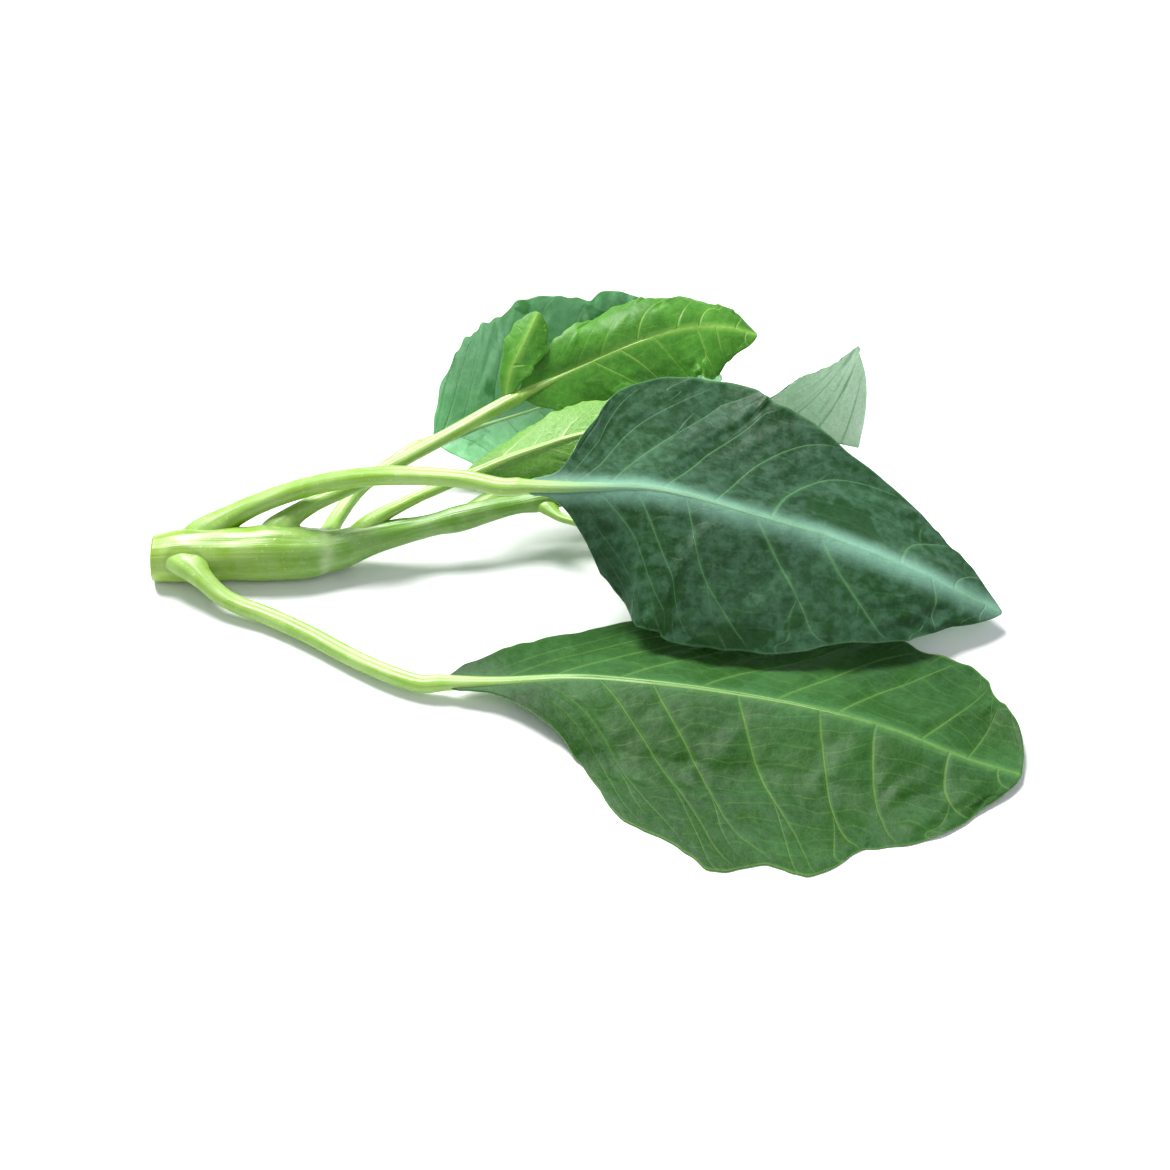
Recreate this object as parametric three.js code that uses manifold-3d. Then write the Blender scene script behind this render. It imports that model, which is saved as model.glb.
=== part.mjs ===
// Chinese broccoli (gai lan): one cut stalk laid down on a table, with its leaves and closed buds.
// Millimetres, +Z up. The stem points along +X from its cut end; the stalk's length sets the size.
import * as THREE from 'three';
import { mergeVertices } from 'three/addons/utils/BufferGeometryUtils.js';
import Module from 'manifold-3d';

const wasm = await Module();
wasm.setup();

// ---- driving dimensions (mm) ----
const BLADE_THICKNESS = 0.8;
const JOINT_GAP = 0.3; // clearance between a piece and its neighbour
const FLOOR_BLEND = 2; // height over which a drooping blade flattens on the table
const RIB_SPREAD = 1.15; // half width of a midrib over the radius of its leaf stalk
const RIB_BELOW = 1.0; // how far the midrib stands out of the underside, in leaf stalk radii
const RIB_ABOVE = 0.55; // the same for the upper face
const RIB_TIP = 0.22; // midrib radius at the leaf's tip over the radius at its base
const RIB_SHOULDER = 0.55; // where the midrib's side has its extra column, over its half width
const LEAST_HALF_WIDTH = 1;
const FULL_WAVE_WIDTH = 20; // half width from which a blade's wave has its full height
const SIDE_PHASE = { wave: 0.31, scallop: 0.37 }; // how far the two halves' waves are out of step
const COLLAR = 7; // straight length of leaf stalk just before the blade
const STEM_SIDES = 16;
const STEM_STEPS = 24;
const STEM_SLANT = 0.08; // how far the cut face leans, over its radius
const PETIOLE_SIDES = 8;
const PETIOLE_STEPS = 2; // rings between one control point and the next
const BUD_SIDES = 7;
const BUD_RADIUS = 2.1;
const BUD_LENGTH = 5.6;
const BUD_STALK_RADIUS = 0.7;
const BUD_STALK_LENGTH = 4.5;
const BUD_STALK_CUP = 0.9; // where the stalk starts to widen into the bud, over its length
const BUD_BLUNTNESS = 0.8; // below 1 a bud is fuller than a sphere

// The stem: centre line and radius, thickest just before the node where it turns thin.
const STEM = {
  path: [
    [0, 0, 8.7], [20, 0.5, 9.3], [40, 0.5, 10], [54, 1, 9.9], [66, 2.5, 10], [82, 6, 12],
    [100, 10, 15], [120, 14, 18], [140, 18, 20.5], [160, 21, 22.5], [184, 23, 24.5],
  ],
  radius: [8.5, 9.2, 9.9, 9.3, 7.3, 5.3, 4.5, 3.7, 3.1, 2.6, 1.9],
};

// One leaf: its stalk, then the midrib and, on either side of it, the half width, the angle at which
// that half leaves the midrib and how much it bends on its way to the margin (degrees).
// "up" is the side the upper face looks to. Waves are [size, count, phase].
const LEAVES = [
  {
    name: 'leaf_1',
    stalk: [
      [8, -1, 9.5], [14.5, -7.5, 12], [20.5, -14.5, 11], [27.5, -20.5, 8], [36, -25, 6], [46, -29.5, 5.2],
      [62, -39.5, 5], [80, -53, 5], [94, -62, 5.3],
    ],
    radius: [5, 4.3, 3.8, 3.5, 3.4, 3.4, 3.4, 3.3, 3.3],
    rib: [
      [112, -67.5, 6], [134, -69.5, 8.5], [160, -68.5, 10], [188, -72, 10.5], [218, -78, 10.5],
      [248, -86, 10], [274, -95, 8], [296, -105, 5], [315, -111, 2.6],
    ],
    up: [[0, 0, 1], [0, 0, 1]],
    front: {
      width: [3.4, 7, 31, 61, 76, 75, 64, 42, 17],
      lift: [5, -3, -11, -15, -18, -18, -15, -9, -1],
      curl: [-10, -8, -6, -4, 0, 2, 4, 4, 4],
    },
    back: {
      width: [3.4, 16, 32, 44, 53, 56, 53, 49, 42],
      lift: [20, 0, -12, -15, -16, -14, -10, -5, 0],
      curl: [-10, 0, 6, 8, 10, 10, 8, 8, 6],
    },
    tipPower: 9,
    scallop: [0.06, 6, 0.68],
    wave: [1.4, 3.3, 0.3],
    grid: [28, 4],
    color: 0x3f6f3c,
  },

  {
    name: 'leaf_2',
    stalk: [
      [15, 3, 11], [24, 8.5, 17.5], [38, 12.5, 24], [56, 14, 31], [75, 10.5, 38.5], [94, 5.5, 44],
      [119, -2.5, 48.5],
    ],
    radius: [6, 4.8, 4.1, 3.9, 3.8, 3.7, 3.4],
    rib: [
      [140, -8.5, 49.5], [155, -9.8, 50.5], [170, -9.5, 51], [187, -9, 50], [204, -12, 48], [221, -16.5, 45],
      [250, -21.5, 38], [284, -26, 25], [303, -28, 15], [319, -30, 7],
    ],
    up: [[0, 0, 1], [0, 0, 1]],
    front: {
      width: [3.4, 7, 32, 49, 54, 53, 47, 33, 19, 9],
      lift: [-10, -30, -40, -34, -30, -28, -26, -20, -16, -10],
      curl: [0, -20, -26, -24, -22, -22, -20, -15, -10, 0],
    },
    back: {
      width: [3.4, 8, 37, 60, 67, 64, 53, 38, 23, 9],
      lift: [10, 4, -10, -14, -14, -12, -8, -4, 0, 0],
      curl: [10, 30, 36, 40, 40, 36, 26, 16, 10, 5],
    },
    tipPower: 9,
    scallop: [0.02, 7, 0.2],
    wave: [1.3, 3.1, 0.6],
    grid: [26, 4],
    color: 0x3a6649,
  },

  {
    name: 'leaf_3',
    stalk: [
      [44, 2, 12], [51, 9.5, 19], [60, 15.5, 22.5], [71, 21.5, 24.5], [83, 27.5, 27], [97, 36, 30.5],
      [113, 45.5, 34.5],
    ],
    radius: [5, 3.9, 3.4, 3.2, 3, 2.9, 2.8],
    rib: [
      [138, 59.5, 41.5], [152, 67, 45], [168, 73.5, 49.5], [186, 80, 54], [204, 85, 56.5], [220, 88, 55],
      [233, 90, 50],
    ],
    up: [[0.1, -0.45, 0.9], [0.1, -0.4, 0.9], [0, -0.2, 1]],
    front: {
      width: [2.8, 16, 23, 25, 24, 20, 10],
      lift: [-5, -10, -14, -16, -16, -14, -10],
      curl: [-8, -14, -16, -16, -16, -14, -10],
    },
    back: {
      width: [2.8, 11, 17, 20, 19, 16, 9],
      lift: [52, 46, 40, 34, 26, 14, 5],
      curl: [-10, -40, -70, -76, -66, -40, -16],
    },
    tipPower: 6,
    scallop: [0.06, 5, 0],
    wave: [1.5, 3.5, 0.5],
    grid: [18, 3],
    color: 0x4e9436,
  },

  {
    name: 'leaf_4',
    stalk: [[72, 3, 9], [84, 10.5, 18.5], [98, 15.5, 24.5]],
    radius: [3.4, 2.6, 2.3],
    rib: [
      [118, 23.5, 29.5], [131, 28.5, 32.5], [145, 33, 35.5], [162, 38, 38.5], [182, 42, 40], [204, 45, 38.5],
      [222, 46, 34],
    ],
    up: [[0, 0.35, -0.93], [0, 0.3, -0.95], [0, 0.2, -1]],
    front: {
      width: [2, 8, 12, 16, 16, 12, 5],
      lift: [10, 8, 0, -6, -8, -6, 0],
      curl: [10, 20, 24, 24, 20, 14, 6],
    },
    back: {
      width: [2, 7, 11, 13, 13, 11, 4],
      lift: [20, 20, 18, 14, 10, 8, 5],
      curl: [30, 36, 36, 30, 24, 16, 8],
    },
    tipPower: 5,
    scallop: [0.04, 5, 0.9],
    wave: [0.7, 3, 0.2],
    grid: [14, 2],
    color: 0x82a866,
  },

  {
    name: 'leaf_5',
    stalk: [[57, 1, 9], [64, 13, 8], [68, 25, 8.5], [76, 40, 11.5], [90, 54, 15]],
    radius: [4.6, 3.6, 3.1, 2.9, 2.8],
    rib: [[103, 62, 17.5], [122, 71, 19.5], [140, 77, 22], [168, 84, 27.5], [196, 90, 31], [220, 92, 28]],
    up: [[0, -0.15, 1], [0, -0.2, 1], [0, -0.1, 1]],
    front: {
      width: [2.8, 26, 37, 42, 36, 12],
      lift: [-10, -24, -32, -37, -33, -12],
      curl: [0, 10, 14, 16, 14, 5],
    },
    back: {
      width: [2.8, 31, 41, 42, 33, 10],
      lift: [40, 50, 52, 52, 46, 20],
      curl: [0, 2, 4, 4, 0, 0],
    },
    tipPower: 5,
    scallop: [0.02, 6, 0.4],
    wave: [1.4, 3.5, 0.9],
    grid: [18, 3],
    color: 0x5a9a66,
  },

  {
    name: 'leaf_6',
    stalk: [[117, 12.5, 17.5], [128, 20, 21], [146, 33.5, 24], [166, 45, 27], [183, 52, 30]],
    radius: [3, 2.5, 2.3, 2.2, 2.2],
    rib: [
      [200, 57, 32.5], [211, 62, 35], [223, 66, 33.5], [235, 68, 28], [247, 68, 21], [260, 66.5, 16],
      [274, 64, 13.5],
    ],
    up: [[0, 0, 1], [0, 0, 1], [0, 0.2, 1]],
    front: {
      width: [2.2, 10, 14, 29, 43, 47, 44],
      lift: [-20, -5, 26, 62, 74, 80, 84],
      curl: [0, 0, 5, 10, 16, 14, 8],
    },
    back: {
      width: [2.2, 12, 21, 26, 27, 22, 10],
      lift: [0, -4, -12, -18, -22, -20, -10],
      curl: [0, -10, -16, -24, -26, -20, -10],
    },
    tipPower: 11,
    scallop: [0.03, 5, 0.1],
    wave: [1, 3, 0.4],
    grid: [18, 3],
    color: 0x6fa582,
  },

  {
    name: 'leaf_7',
    stalk: [[148, 19, 21], [154, 11, 20.5], [161, 6.5, 21]],
    radius: [2.2, 1.8, 1.6],
    rib: [[172, 2, 22], [188, -2, 22.5], [206, -6, 20.5], [224, -9, 16], [238, -11, 11]],
    up: [[0, 0, 1], [0, 0, 1]],
    front: { width: [1.6, 11, 14, 11, 4], lift: [30, 25, 18, 10, 5], curl: [10, 20, 20, 10, 5] },
    back: { width: [1.6, 11, 14, 11, 4], lift: [35, 30, 22, 14, 5], curl: [5, 15, 20, 10, 5] },
    tipPower: 5,
    scallop: [0.03, 4, 0.2],
    wave: [0.5, 3, 0.1],
    grid: [10, 2],
    color: 0x6aa04c,
  },
  {
    name: 'leaf_8',
    stalk: [[166, 21, 23], [172, 29, 20.5], [180, 33, 18]],
    radius: [2, 1.6, 1.5],
    rib: [[190, 35.5, 16], [204, 38, 14.5], [220, 40, 11], [234, 41, 6.5]],
    up: [[0, 0, 1], [0, 0, 1]],
    front: { width: [1.5, 10, 10, 4], lift: [30, 20, 14, 5], curl: [10, 20, 14, 5] },
    back: { width: [1.5, 9, 9, 4], lift: [30, 24, 16, 5], curl: [5, 12, 10, 5] },
    tipPower: 5,
    scallop: [0.03, 4, 0.7],
    wave: [0.4, 3, 0.5],
    grid: [8, 2],
    color: 0x6aa04c,
  },
];

// The ear of leaf 3: a small lobe standing on the leaf stalk just before the blade.
const LOBE = {
  name: 'leaf_3_lobe',
  rib: [[132, 58.9, 43.9], [135.4, 63.8, 50.5], [141, 72, 59.5], [146, 82, 66]],
  up: [[0, -0.8, 0.5], [0, -0.8, 0.5]],
  front: { width: [1.3, 6.5, 10, 8], lift: [0, 0, -10, -10], curl: [0, 10, -6, -10] },
  back: { width: [1.3, 4.5, 8, 7], lift: [0, -10, -14, -10], curl: [0, -10, -20, -10] },
  tipPower: 6,
  scallop: [0.06, 4, 0.3],
  wave: [0.3, 2, 0],
  grid: [8, 2],
  ribRadius: 1.2,
  color: 0x6db035,
};

// Closed buds: where each little stalk leaves the tip of the stem and the way it points.
const BUDS = [
  { foot: [186.5, 23, 24.7], toward: [1, 0.05, 0.1] },
  { foot: [182, 21, 26.5], toward: [0.8, -0.5, 0.5] },
  { foot: [182, 25.5, 26], toward: [0.8, 0.6, 0.4] },
  { foot: [180.5, 23.5, 22], toward: [0.8, 0.2, -0.7] },
  { foot: [176, 20, 25], toward: [0.7, -0.75, 0.2] },
  { foot: [175, 23, 27.2], toward: [0.6, 0, 0.8] },
  { foot: [174, 25.6, 24.5], toward: [0.7, 0.7, 0.1] },
];

// ---- curves and small helpers ----

// Value at u (0..1) on a Catmull-Rom curve through the given numbers or points.
function along(values, u) {
  const n = values.length - 1;
  const x = Math.min(Math.max(u, 0), 1) * n;
  const i = Math.min(Math.floor(x), n - 1);
  const f = x - i;
  const list = Array.isArray(values[0]) ? values : values.map((v) => [v]);
  const mirrored = (from, about) => about.map((a, k) => 2 * a - from[k]);
  const b = list[i];
  const c = list[i + 1];
  const a = i > 0 ? list[i - 1] : mirrored(c, b);
  const d = i < n - 1 ? list[i + 2] : mirrored(b, c);
  const result = b.map((_, k) => 0.5 * (2 * b[k] + (c[k] - a[k]) * f
    + (2 * a[k] - 5 * b[k] + 4 * c[k] - d[k]) * f * f
    + (3 * b[k] - a[k] - 3 * c[k] + d[k]) * f * f * f));
  return Array.isArray(values[0]) ? new THREE.Vector3(...result) : result[0];
}

// Height of a drooping surface that comes to rest, softly, on the level given.
function rested(z, level) {
  if (z <= level - FLOOR_BLEND) return level;
  if (z >= level + FLOOR_BLEND) return z;
  return level + (z - level + FLOOR_BLEND) ** 2 / (4 * FLOOR_BLEND);
}

function direction(path, u) {
  const step = 1e-3;
  return along(path, Math.min(u + step, 1)).sub(along(path, Math.max(u - step, 0))).normalize();
}

// Closed geometry from rings of points with a fan over each end.
function loft(rings) {
  const sides = rings[0].length;
  const positions = [];
  const index = [];
  for (const ring of rings) for (const p of ring) positions.push(p.x, p.y, p.z);
  for (let i = 0; i < rings.length - 1; i += 1) {
    for (let j = 0; j < sides; j += 1) {
      const a = i * sides + j;
      const b = i * sides + (j + 1) % sides;
      index.push(a, a + sides, b, b, a + sides, b + sides);
    }
  }
  for (const [row, flip] of [[0, false], [rings.length - 1, true]]) {
    const hub = positions.length / 3;
    const centre = rings[row].reduce((sum, p) => sum.add(p), new THREE.Vector3()).divideScalar(sides);
    positions.push(centre.x, centre.y, centre.z);
    for (let j = 0; j < sides; j += 1) {
      const a = row * sides + j;
      const b = row * sides + (j + 1) % sides;
      if (flip) index.push(hub, b, a);
      else index.push(hub, a, b);
    }
  }
  const geometry = new THREE.BufferGeometry();
  geometry.setAttribute('position', new THREE.Float32BufferAttribute(positions, 3));
  geometry.setIndex(index);
  return geometry;
}

// A round, tapering stem along a path; "grow" adds to the radius, "slant" tilts the first face.
function tube(path, radius, sides, steps, grow = 0, slant = 0) {
  const rings = [];
  for (let i = 0; i <= steps; i += 1) {
    const u = i / steps;
    const centre = along(path, u);
    const ahead = direction(path, u);
    const side = new THREE.Vector3().crossVectors(ahead, new THREE.Vector3(0, 0, 1)).normalize();
    const over = new THREE.Vector3().crossVectors(side, ahead);
    const r = along(radius, u) + grow;
    const ring = [];
    for (let j = 0; j < sides; j += 1) {
      const angle = (2 * Math.PI * j) / sides;
      const p = centre.clone().addScaledVector(side, r * Math.cos(angle));
      p.addScaledVector(over, r * Math.sin(angle));
      if (i === 0) p.addScaledVector(ahead, slant * Math.sin(angle) * r);
      ring.push(p);
    }
    rings.push(ring);
  }
  return loft(rings);
}

// ---- leaf blades ----

// Mid surface of a blade at s (0 base, 1 tip) and t (-1 back margin, 0 midrib, 1 front margin): each
// half is a circular arc that leaves the midrib at the angle "lift" and bends by "curl" on its way out.
function bladePoint(leaf, s, t) {
  const half = t >= 0 ? leaf.front : leaf.back;
  const sign = t >= 0 ? 1 : -1;
  const spine = along(leaf.rib, s);
  const ahead = direction(leaf.rib, s);
  const across = new THREE.Vector3().crossVectors(ahead, along(leaf.up, s).normalize()).normalize();
  const over = new THREE.Vector3().crossVectors(across, ahead);
  const width = halfWidth(leaf, s, sign);
  const lift = THREE.MathUtils.degToRad(along(half.lift, s));
  const curl = THREE.MathUtils.degToRad(along(half.curl, s));
  const reach = Math.abs(t);
  const turn = (curl * reach) / 2;
  const chord = width * reach * (Math.abs(turn) > 1e-6 ? Math.sin(turn) / turn : 1);
  const [size, count, phase] = leaf.wave;
  const swing = 2 * Math.PI * (count * s + phase + SIDE_PHASE.wave * sign);
  const ripple = size * t * t * Math.min(width / FULL_WAVE_WIDTH, 1) * Math.sin(swing);
  const p = spine.clone().addScaledVector(across, sign * chord * Math.cos(lift + turn));
  p.addScaledVector(over, chord * Math.sin(lift + turn) + ripple);
  p.z = rested(p.z, BLADE_THICKNESS / 2);
  return p;
}

// Half width of one side, closing round the tip, with a gently scalloped margin.
function halfWidth(leaf, s, sign) {
  const half = sign > 0 ? leaf.front : leaf.back;
  const closing = Math.sqrt(Math.max(1 - s ** leaf.tipPower, 0));
  const [size, count, phase] = leaf.scallop;
  const scallop = 1 + size * s * Math.sin(2 * Math.PI * (count * s + phase + SIDE_PHASE.scallop * sign));
  return Math.max(along(half.width, s) * closing * scallop, LEAST_HALF_WIDTH);
}

// A blade of even thickness, thicker along the midrib, closed all round.
function bladeGeometry(leaf) {
  const [lengthSteps, sideSteps] = leaf.grid;
  const baseRadius = leaf.ribRadius ?? leaf.radius.at(-1);
  const rings = [];
  for (let i = 0; i <= lengthSteps; i += 1) {
    const s = i / lengthSteps;
    const ribRadius = baseRadius * (1 - (1 - RIB_TIP) * s);
    const columns = [];
    for (const sign of [-1, 1]) {
      const width = halfWidth(leaf, s, sign);
      const ribEdge = Math.min((RIB_SPREAD * ribRadius) / width, 0.5);
      const half = [RIB_SHOULDER * ribEdge, ribEdge];
      for (let k = 1; k <= sideSteps; k += 1) half.push(ribEdge + (1 - ribEdge) * (k / sideSteps));
      if (sign < 0) columns.push(...half.map((t) => -t).reverse(), 0);
      else columns.push(...half);
    }
    const upper = [];
    const lower = [];
    for (const t of columns) {
      const width = halfWidth(leaf, s, t < 0 ? -1 : 1);
      const d = (Math.abs(t) * width) / (RIB_SPREAD * ribRadius);
      const swell = Math.max(1 - d * d, 0) * ribRadius;
      const p = bladePoint(leaf, s, t);
      const normal = bladeNormal(leaf, s, t);
      upper.push(offset(p, normal, BLADE_THICKNESS / 2 + RIB_ABOVE * swell));
      lower.push(offset(p, normal, -BLADE_THICKNESS / 2 - RIB_BELOW * swell));
    }
    rings.push([...lower, ...upper.reverse()]);
  }
  return loft(rings);
}

// A point moved along the normal, but never below the table.
function offset(point, normal, distance) {
  const moved = point.clone().addScaledVector(normal, distance);
  moved.z = Math.max(moved.z, 0);
  return moved;
}

// Direction the upper face looks to.
function bladeNormal(leaf, s, t) {
  const step = 0.01;
  const s0 = Math.max(s - step, 0);
  const s1 = Math.min(s + step, 1);
  const inner = t >= 0 ? Math.max(t - step, 0) : t - step;
  const outer = t >= 0 ? t + step : Math.min(t + step, 0);
  const lengthwise = bladePoint(leaf, s1, t).sub(bladePoint(leaf, s0, t));
  const sideways = bladePoint(leaf, s, outer).sub(bladePoint(leaf, s, inner));
  if (t === 0) sideways.copy(bladePoint(leaf, s, step)).sub(bladePoint(leaf, s, -step));
  return new THREE.Vector3().crossVectors(sideways, lengthwise).normalize();
}

// ---- cutting a leaf stalk where it meets the stem ----

function solid(geometry) {
  const merged = geometry.clone();
  merged.deleteAttribute('normal');
  merged.deleteAttribute('uv');
  const clean = mergeVertices(merged, 1e-4);
  return new wasm.Manifold(new wasm.Mesh({
    numProp: 3,
    vertProperties: clean.attributes.position.array,
    triVerts: new Uint32Array(clean.index.array),
  }));
}

function fromSolid(body) {
  const mesh = body.getMesh();
  const geometry = new THREE.BufferGeometry();
  geometry.setAttribute('position', new THREE.Float32BufferAttribute(mesh.vertProperties, 3));
  geometry.setIndex([...mesh.triVerts]);
  return geometry;
}

// The stalk of a leaf, cut back where it leaves the stem and stopping just short of the blade.
function petioleGeometry(leaf, stemTool) {
  const foot = along(leaf.rib, 0);
  const ahead = direction(leaf.rib, 0);
  const path = [
    ...leaf.stalk,
    foot.clone().addScaledVector(ahead, -COLLAR).toArray(),
    foot.clone().addScaledVector(ahead, -JOINT_GAP).toArray(),
  ];
  const radius = [...leaf.radius, leaf.radius.at(-1), leaf.radius.at(-1)];
  const steps = PETIOLE_STEPS * (path.length - 1);
  const body = solid(tube(path, radius, PETIOLE_SIDES, steps));
  const outside = body.subtract(stemTool).decompose();
  outside.sort((a, b) => b.volume() - a.volume());
  return fromSolid(outside[0]);
}

// A closed bud on its little stalk, turned from a profile.
function budGeometry() {
  const profile = [[0, 0], [BUD_STALK_RADIUS, 0], [BUD_STALK_RADIUS, BUD_STALK_LENGTH * BUD_STALK_CUP]];
  const bulge = 5;
  for (let k = 1; k < bulge; k += 1) {
    const angle = (Math.PI * k) / bulge;
    profile.push([
      BUD_RADIUS * Math.sin(angle) ** BUD_BLUNTNESS,
      BUD_STALK_LENGTH + (BUD_LENGTH * (1 - Math.cos(angle))) / 2,
    ]);
  }
  profile.push([0, BUD_STALK_LENGTH + BUD_LENGTH]);
  return new THREE.LatheGeometry(profile.map(([x, y]) => new THREE.Vector2(x, y)), BUD_SIDES);
}

// ---- assembly ----

const stalk = new THREE.Group();

function add(name, geometry, color, roughness) {
  const material = new THREE.MeshStandardMaterial({ color, roughness, metalness: 0 });
  const mesh = new THREE.Mesh(geometry, material);
  mesh.name = name;
  stalk.add(mesh);
  return mesh;
}

const stemTool = solid(tube(STEM.path, STEM.radius, STEM_SIDES, STEM_STEPS, JOINT_GAP));
add('main_stem', tube(STEM.path, STEM.radius, STEM_SIDES, STEM_STEPS, 0, STEM_SLANT), 0x94b83f, 0.5);

for (const leaf of LEAVES) {
  add(`${leaf.name}_petiole`, petioleGeometry(leaf, stemTool), 0xa4c85a, 0.5);
  add(`${leaf.name}_blade`, bladeGeometry(leaf), leaf.color, 0.55);
}
add(LOBE.name, bladeGeometry(LOBE), LOBE.color, 0.55);

BUDS.forEach(({ foot, toward }, i) => {
  const bud = add(`bud_${i + 1}`, budGeometry(), 0x7fa544, 0.6);
  bud.position.set(...foot);
  const lathe = new THREE.Vector3(0, 1, 0);
  bud.quaternion.setFromUnitVectors(lathe, new THREE.Vector3(...toward).normalize());
});

// The origin is under the middle of the stalk, on the table.
const box = new THREE.Box3().setFromObject(stalk, true);
const middle = box.getCenter(new THREE.Vector3());
stalk.position.set(-middle.x, -middle.y, -box.min.z);
const part = new THREE.Group();
part.add(stalk);

export default part;
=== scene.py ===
"""One cut stalk of chinese broccoli (gai lan), lying on a table: stem, leaf stalks, leaves and closed buds.

Lengths in the tables are millimetres and angles are degrees. Every surface is computed from a path
and a few widths and angles along it, and then moved into the frame's own place.
"""

import bpy
import numpy as np
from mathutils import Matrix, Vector


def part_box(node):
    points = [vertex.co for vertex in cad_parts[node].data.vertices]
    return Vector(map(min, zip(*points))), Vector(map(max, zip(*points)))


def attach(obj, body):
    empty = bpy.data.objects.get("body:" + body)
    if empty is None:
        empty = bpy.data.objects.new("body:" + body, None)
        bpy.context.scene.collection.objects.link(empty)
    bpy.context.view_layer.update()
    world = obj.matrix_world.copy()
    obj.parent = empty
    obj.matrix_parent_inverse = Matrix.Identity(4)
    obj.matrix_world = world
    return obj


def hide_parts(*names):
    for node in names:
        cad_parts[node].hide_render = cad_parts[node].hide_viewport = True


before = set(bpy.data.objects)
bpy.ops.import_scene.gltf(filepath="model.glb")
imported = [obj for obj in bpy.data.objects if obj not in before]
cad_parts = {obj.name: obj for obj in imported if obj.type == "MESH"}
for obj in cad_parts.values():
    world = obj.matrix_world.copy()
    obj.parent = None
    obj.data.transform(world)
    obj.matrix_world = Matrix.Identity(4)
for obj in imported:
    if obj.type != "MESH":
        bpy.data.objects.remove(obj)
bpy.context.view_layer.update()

MM = 0.001
SKIN = 0.6  # thickness of a blade, mm
FLOOR_BLEND = 2.0  # height over which a drooping blade flattens on the table
COLLAR = 7.0  # straight length of leaf stalk just before the blade
RUNG_GAP = 6.2  # between the small cross veins, mm
PLAIN_STEM = (25, 16)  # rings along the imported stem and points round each
STEM_MESH = (260, 96)  # the same for the finished stem
STALK_MESH = (110, 120, 40)  # rings before the blade, rings in the blade, points round each
BUD_MESH = (70, 32)
CUT_SLANT = 0.08  # how far the cut face leans, over its radius
NODE_AT = 63.0  # where the stem's node swells, mm from the cut end
FOOT_POINTS = 22  # how many of the first of a stalk's 60 points count as its foot
RIB_END = 0.985  # how far along the blade the midrib runs
UPRIGHT = np.array([0.0, 0.0, 1.0])

STEM = {
    "path": [
        [0, 0, 8.7], [20, 0.5, 9.3], [40, 0.5, 10], [54, 1, 9.9], [66, 2.5, 10], [82, 6, 12],
        [100, 10, 15], [120, 14, 18], [140, 18, 20.5], [160, 21, 22.5], [184, 23, 24.5],
    ],
    "radius": [8.5, 9.2, 9.9, 9.3, 7.3, 5.3, 4.5, 3.7, 3.1, 2.6, 1.9],
}

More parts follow.
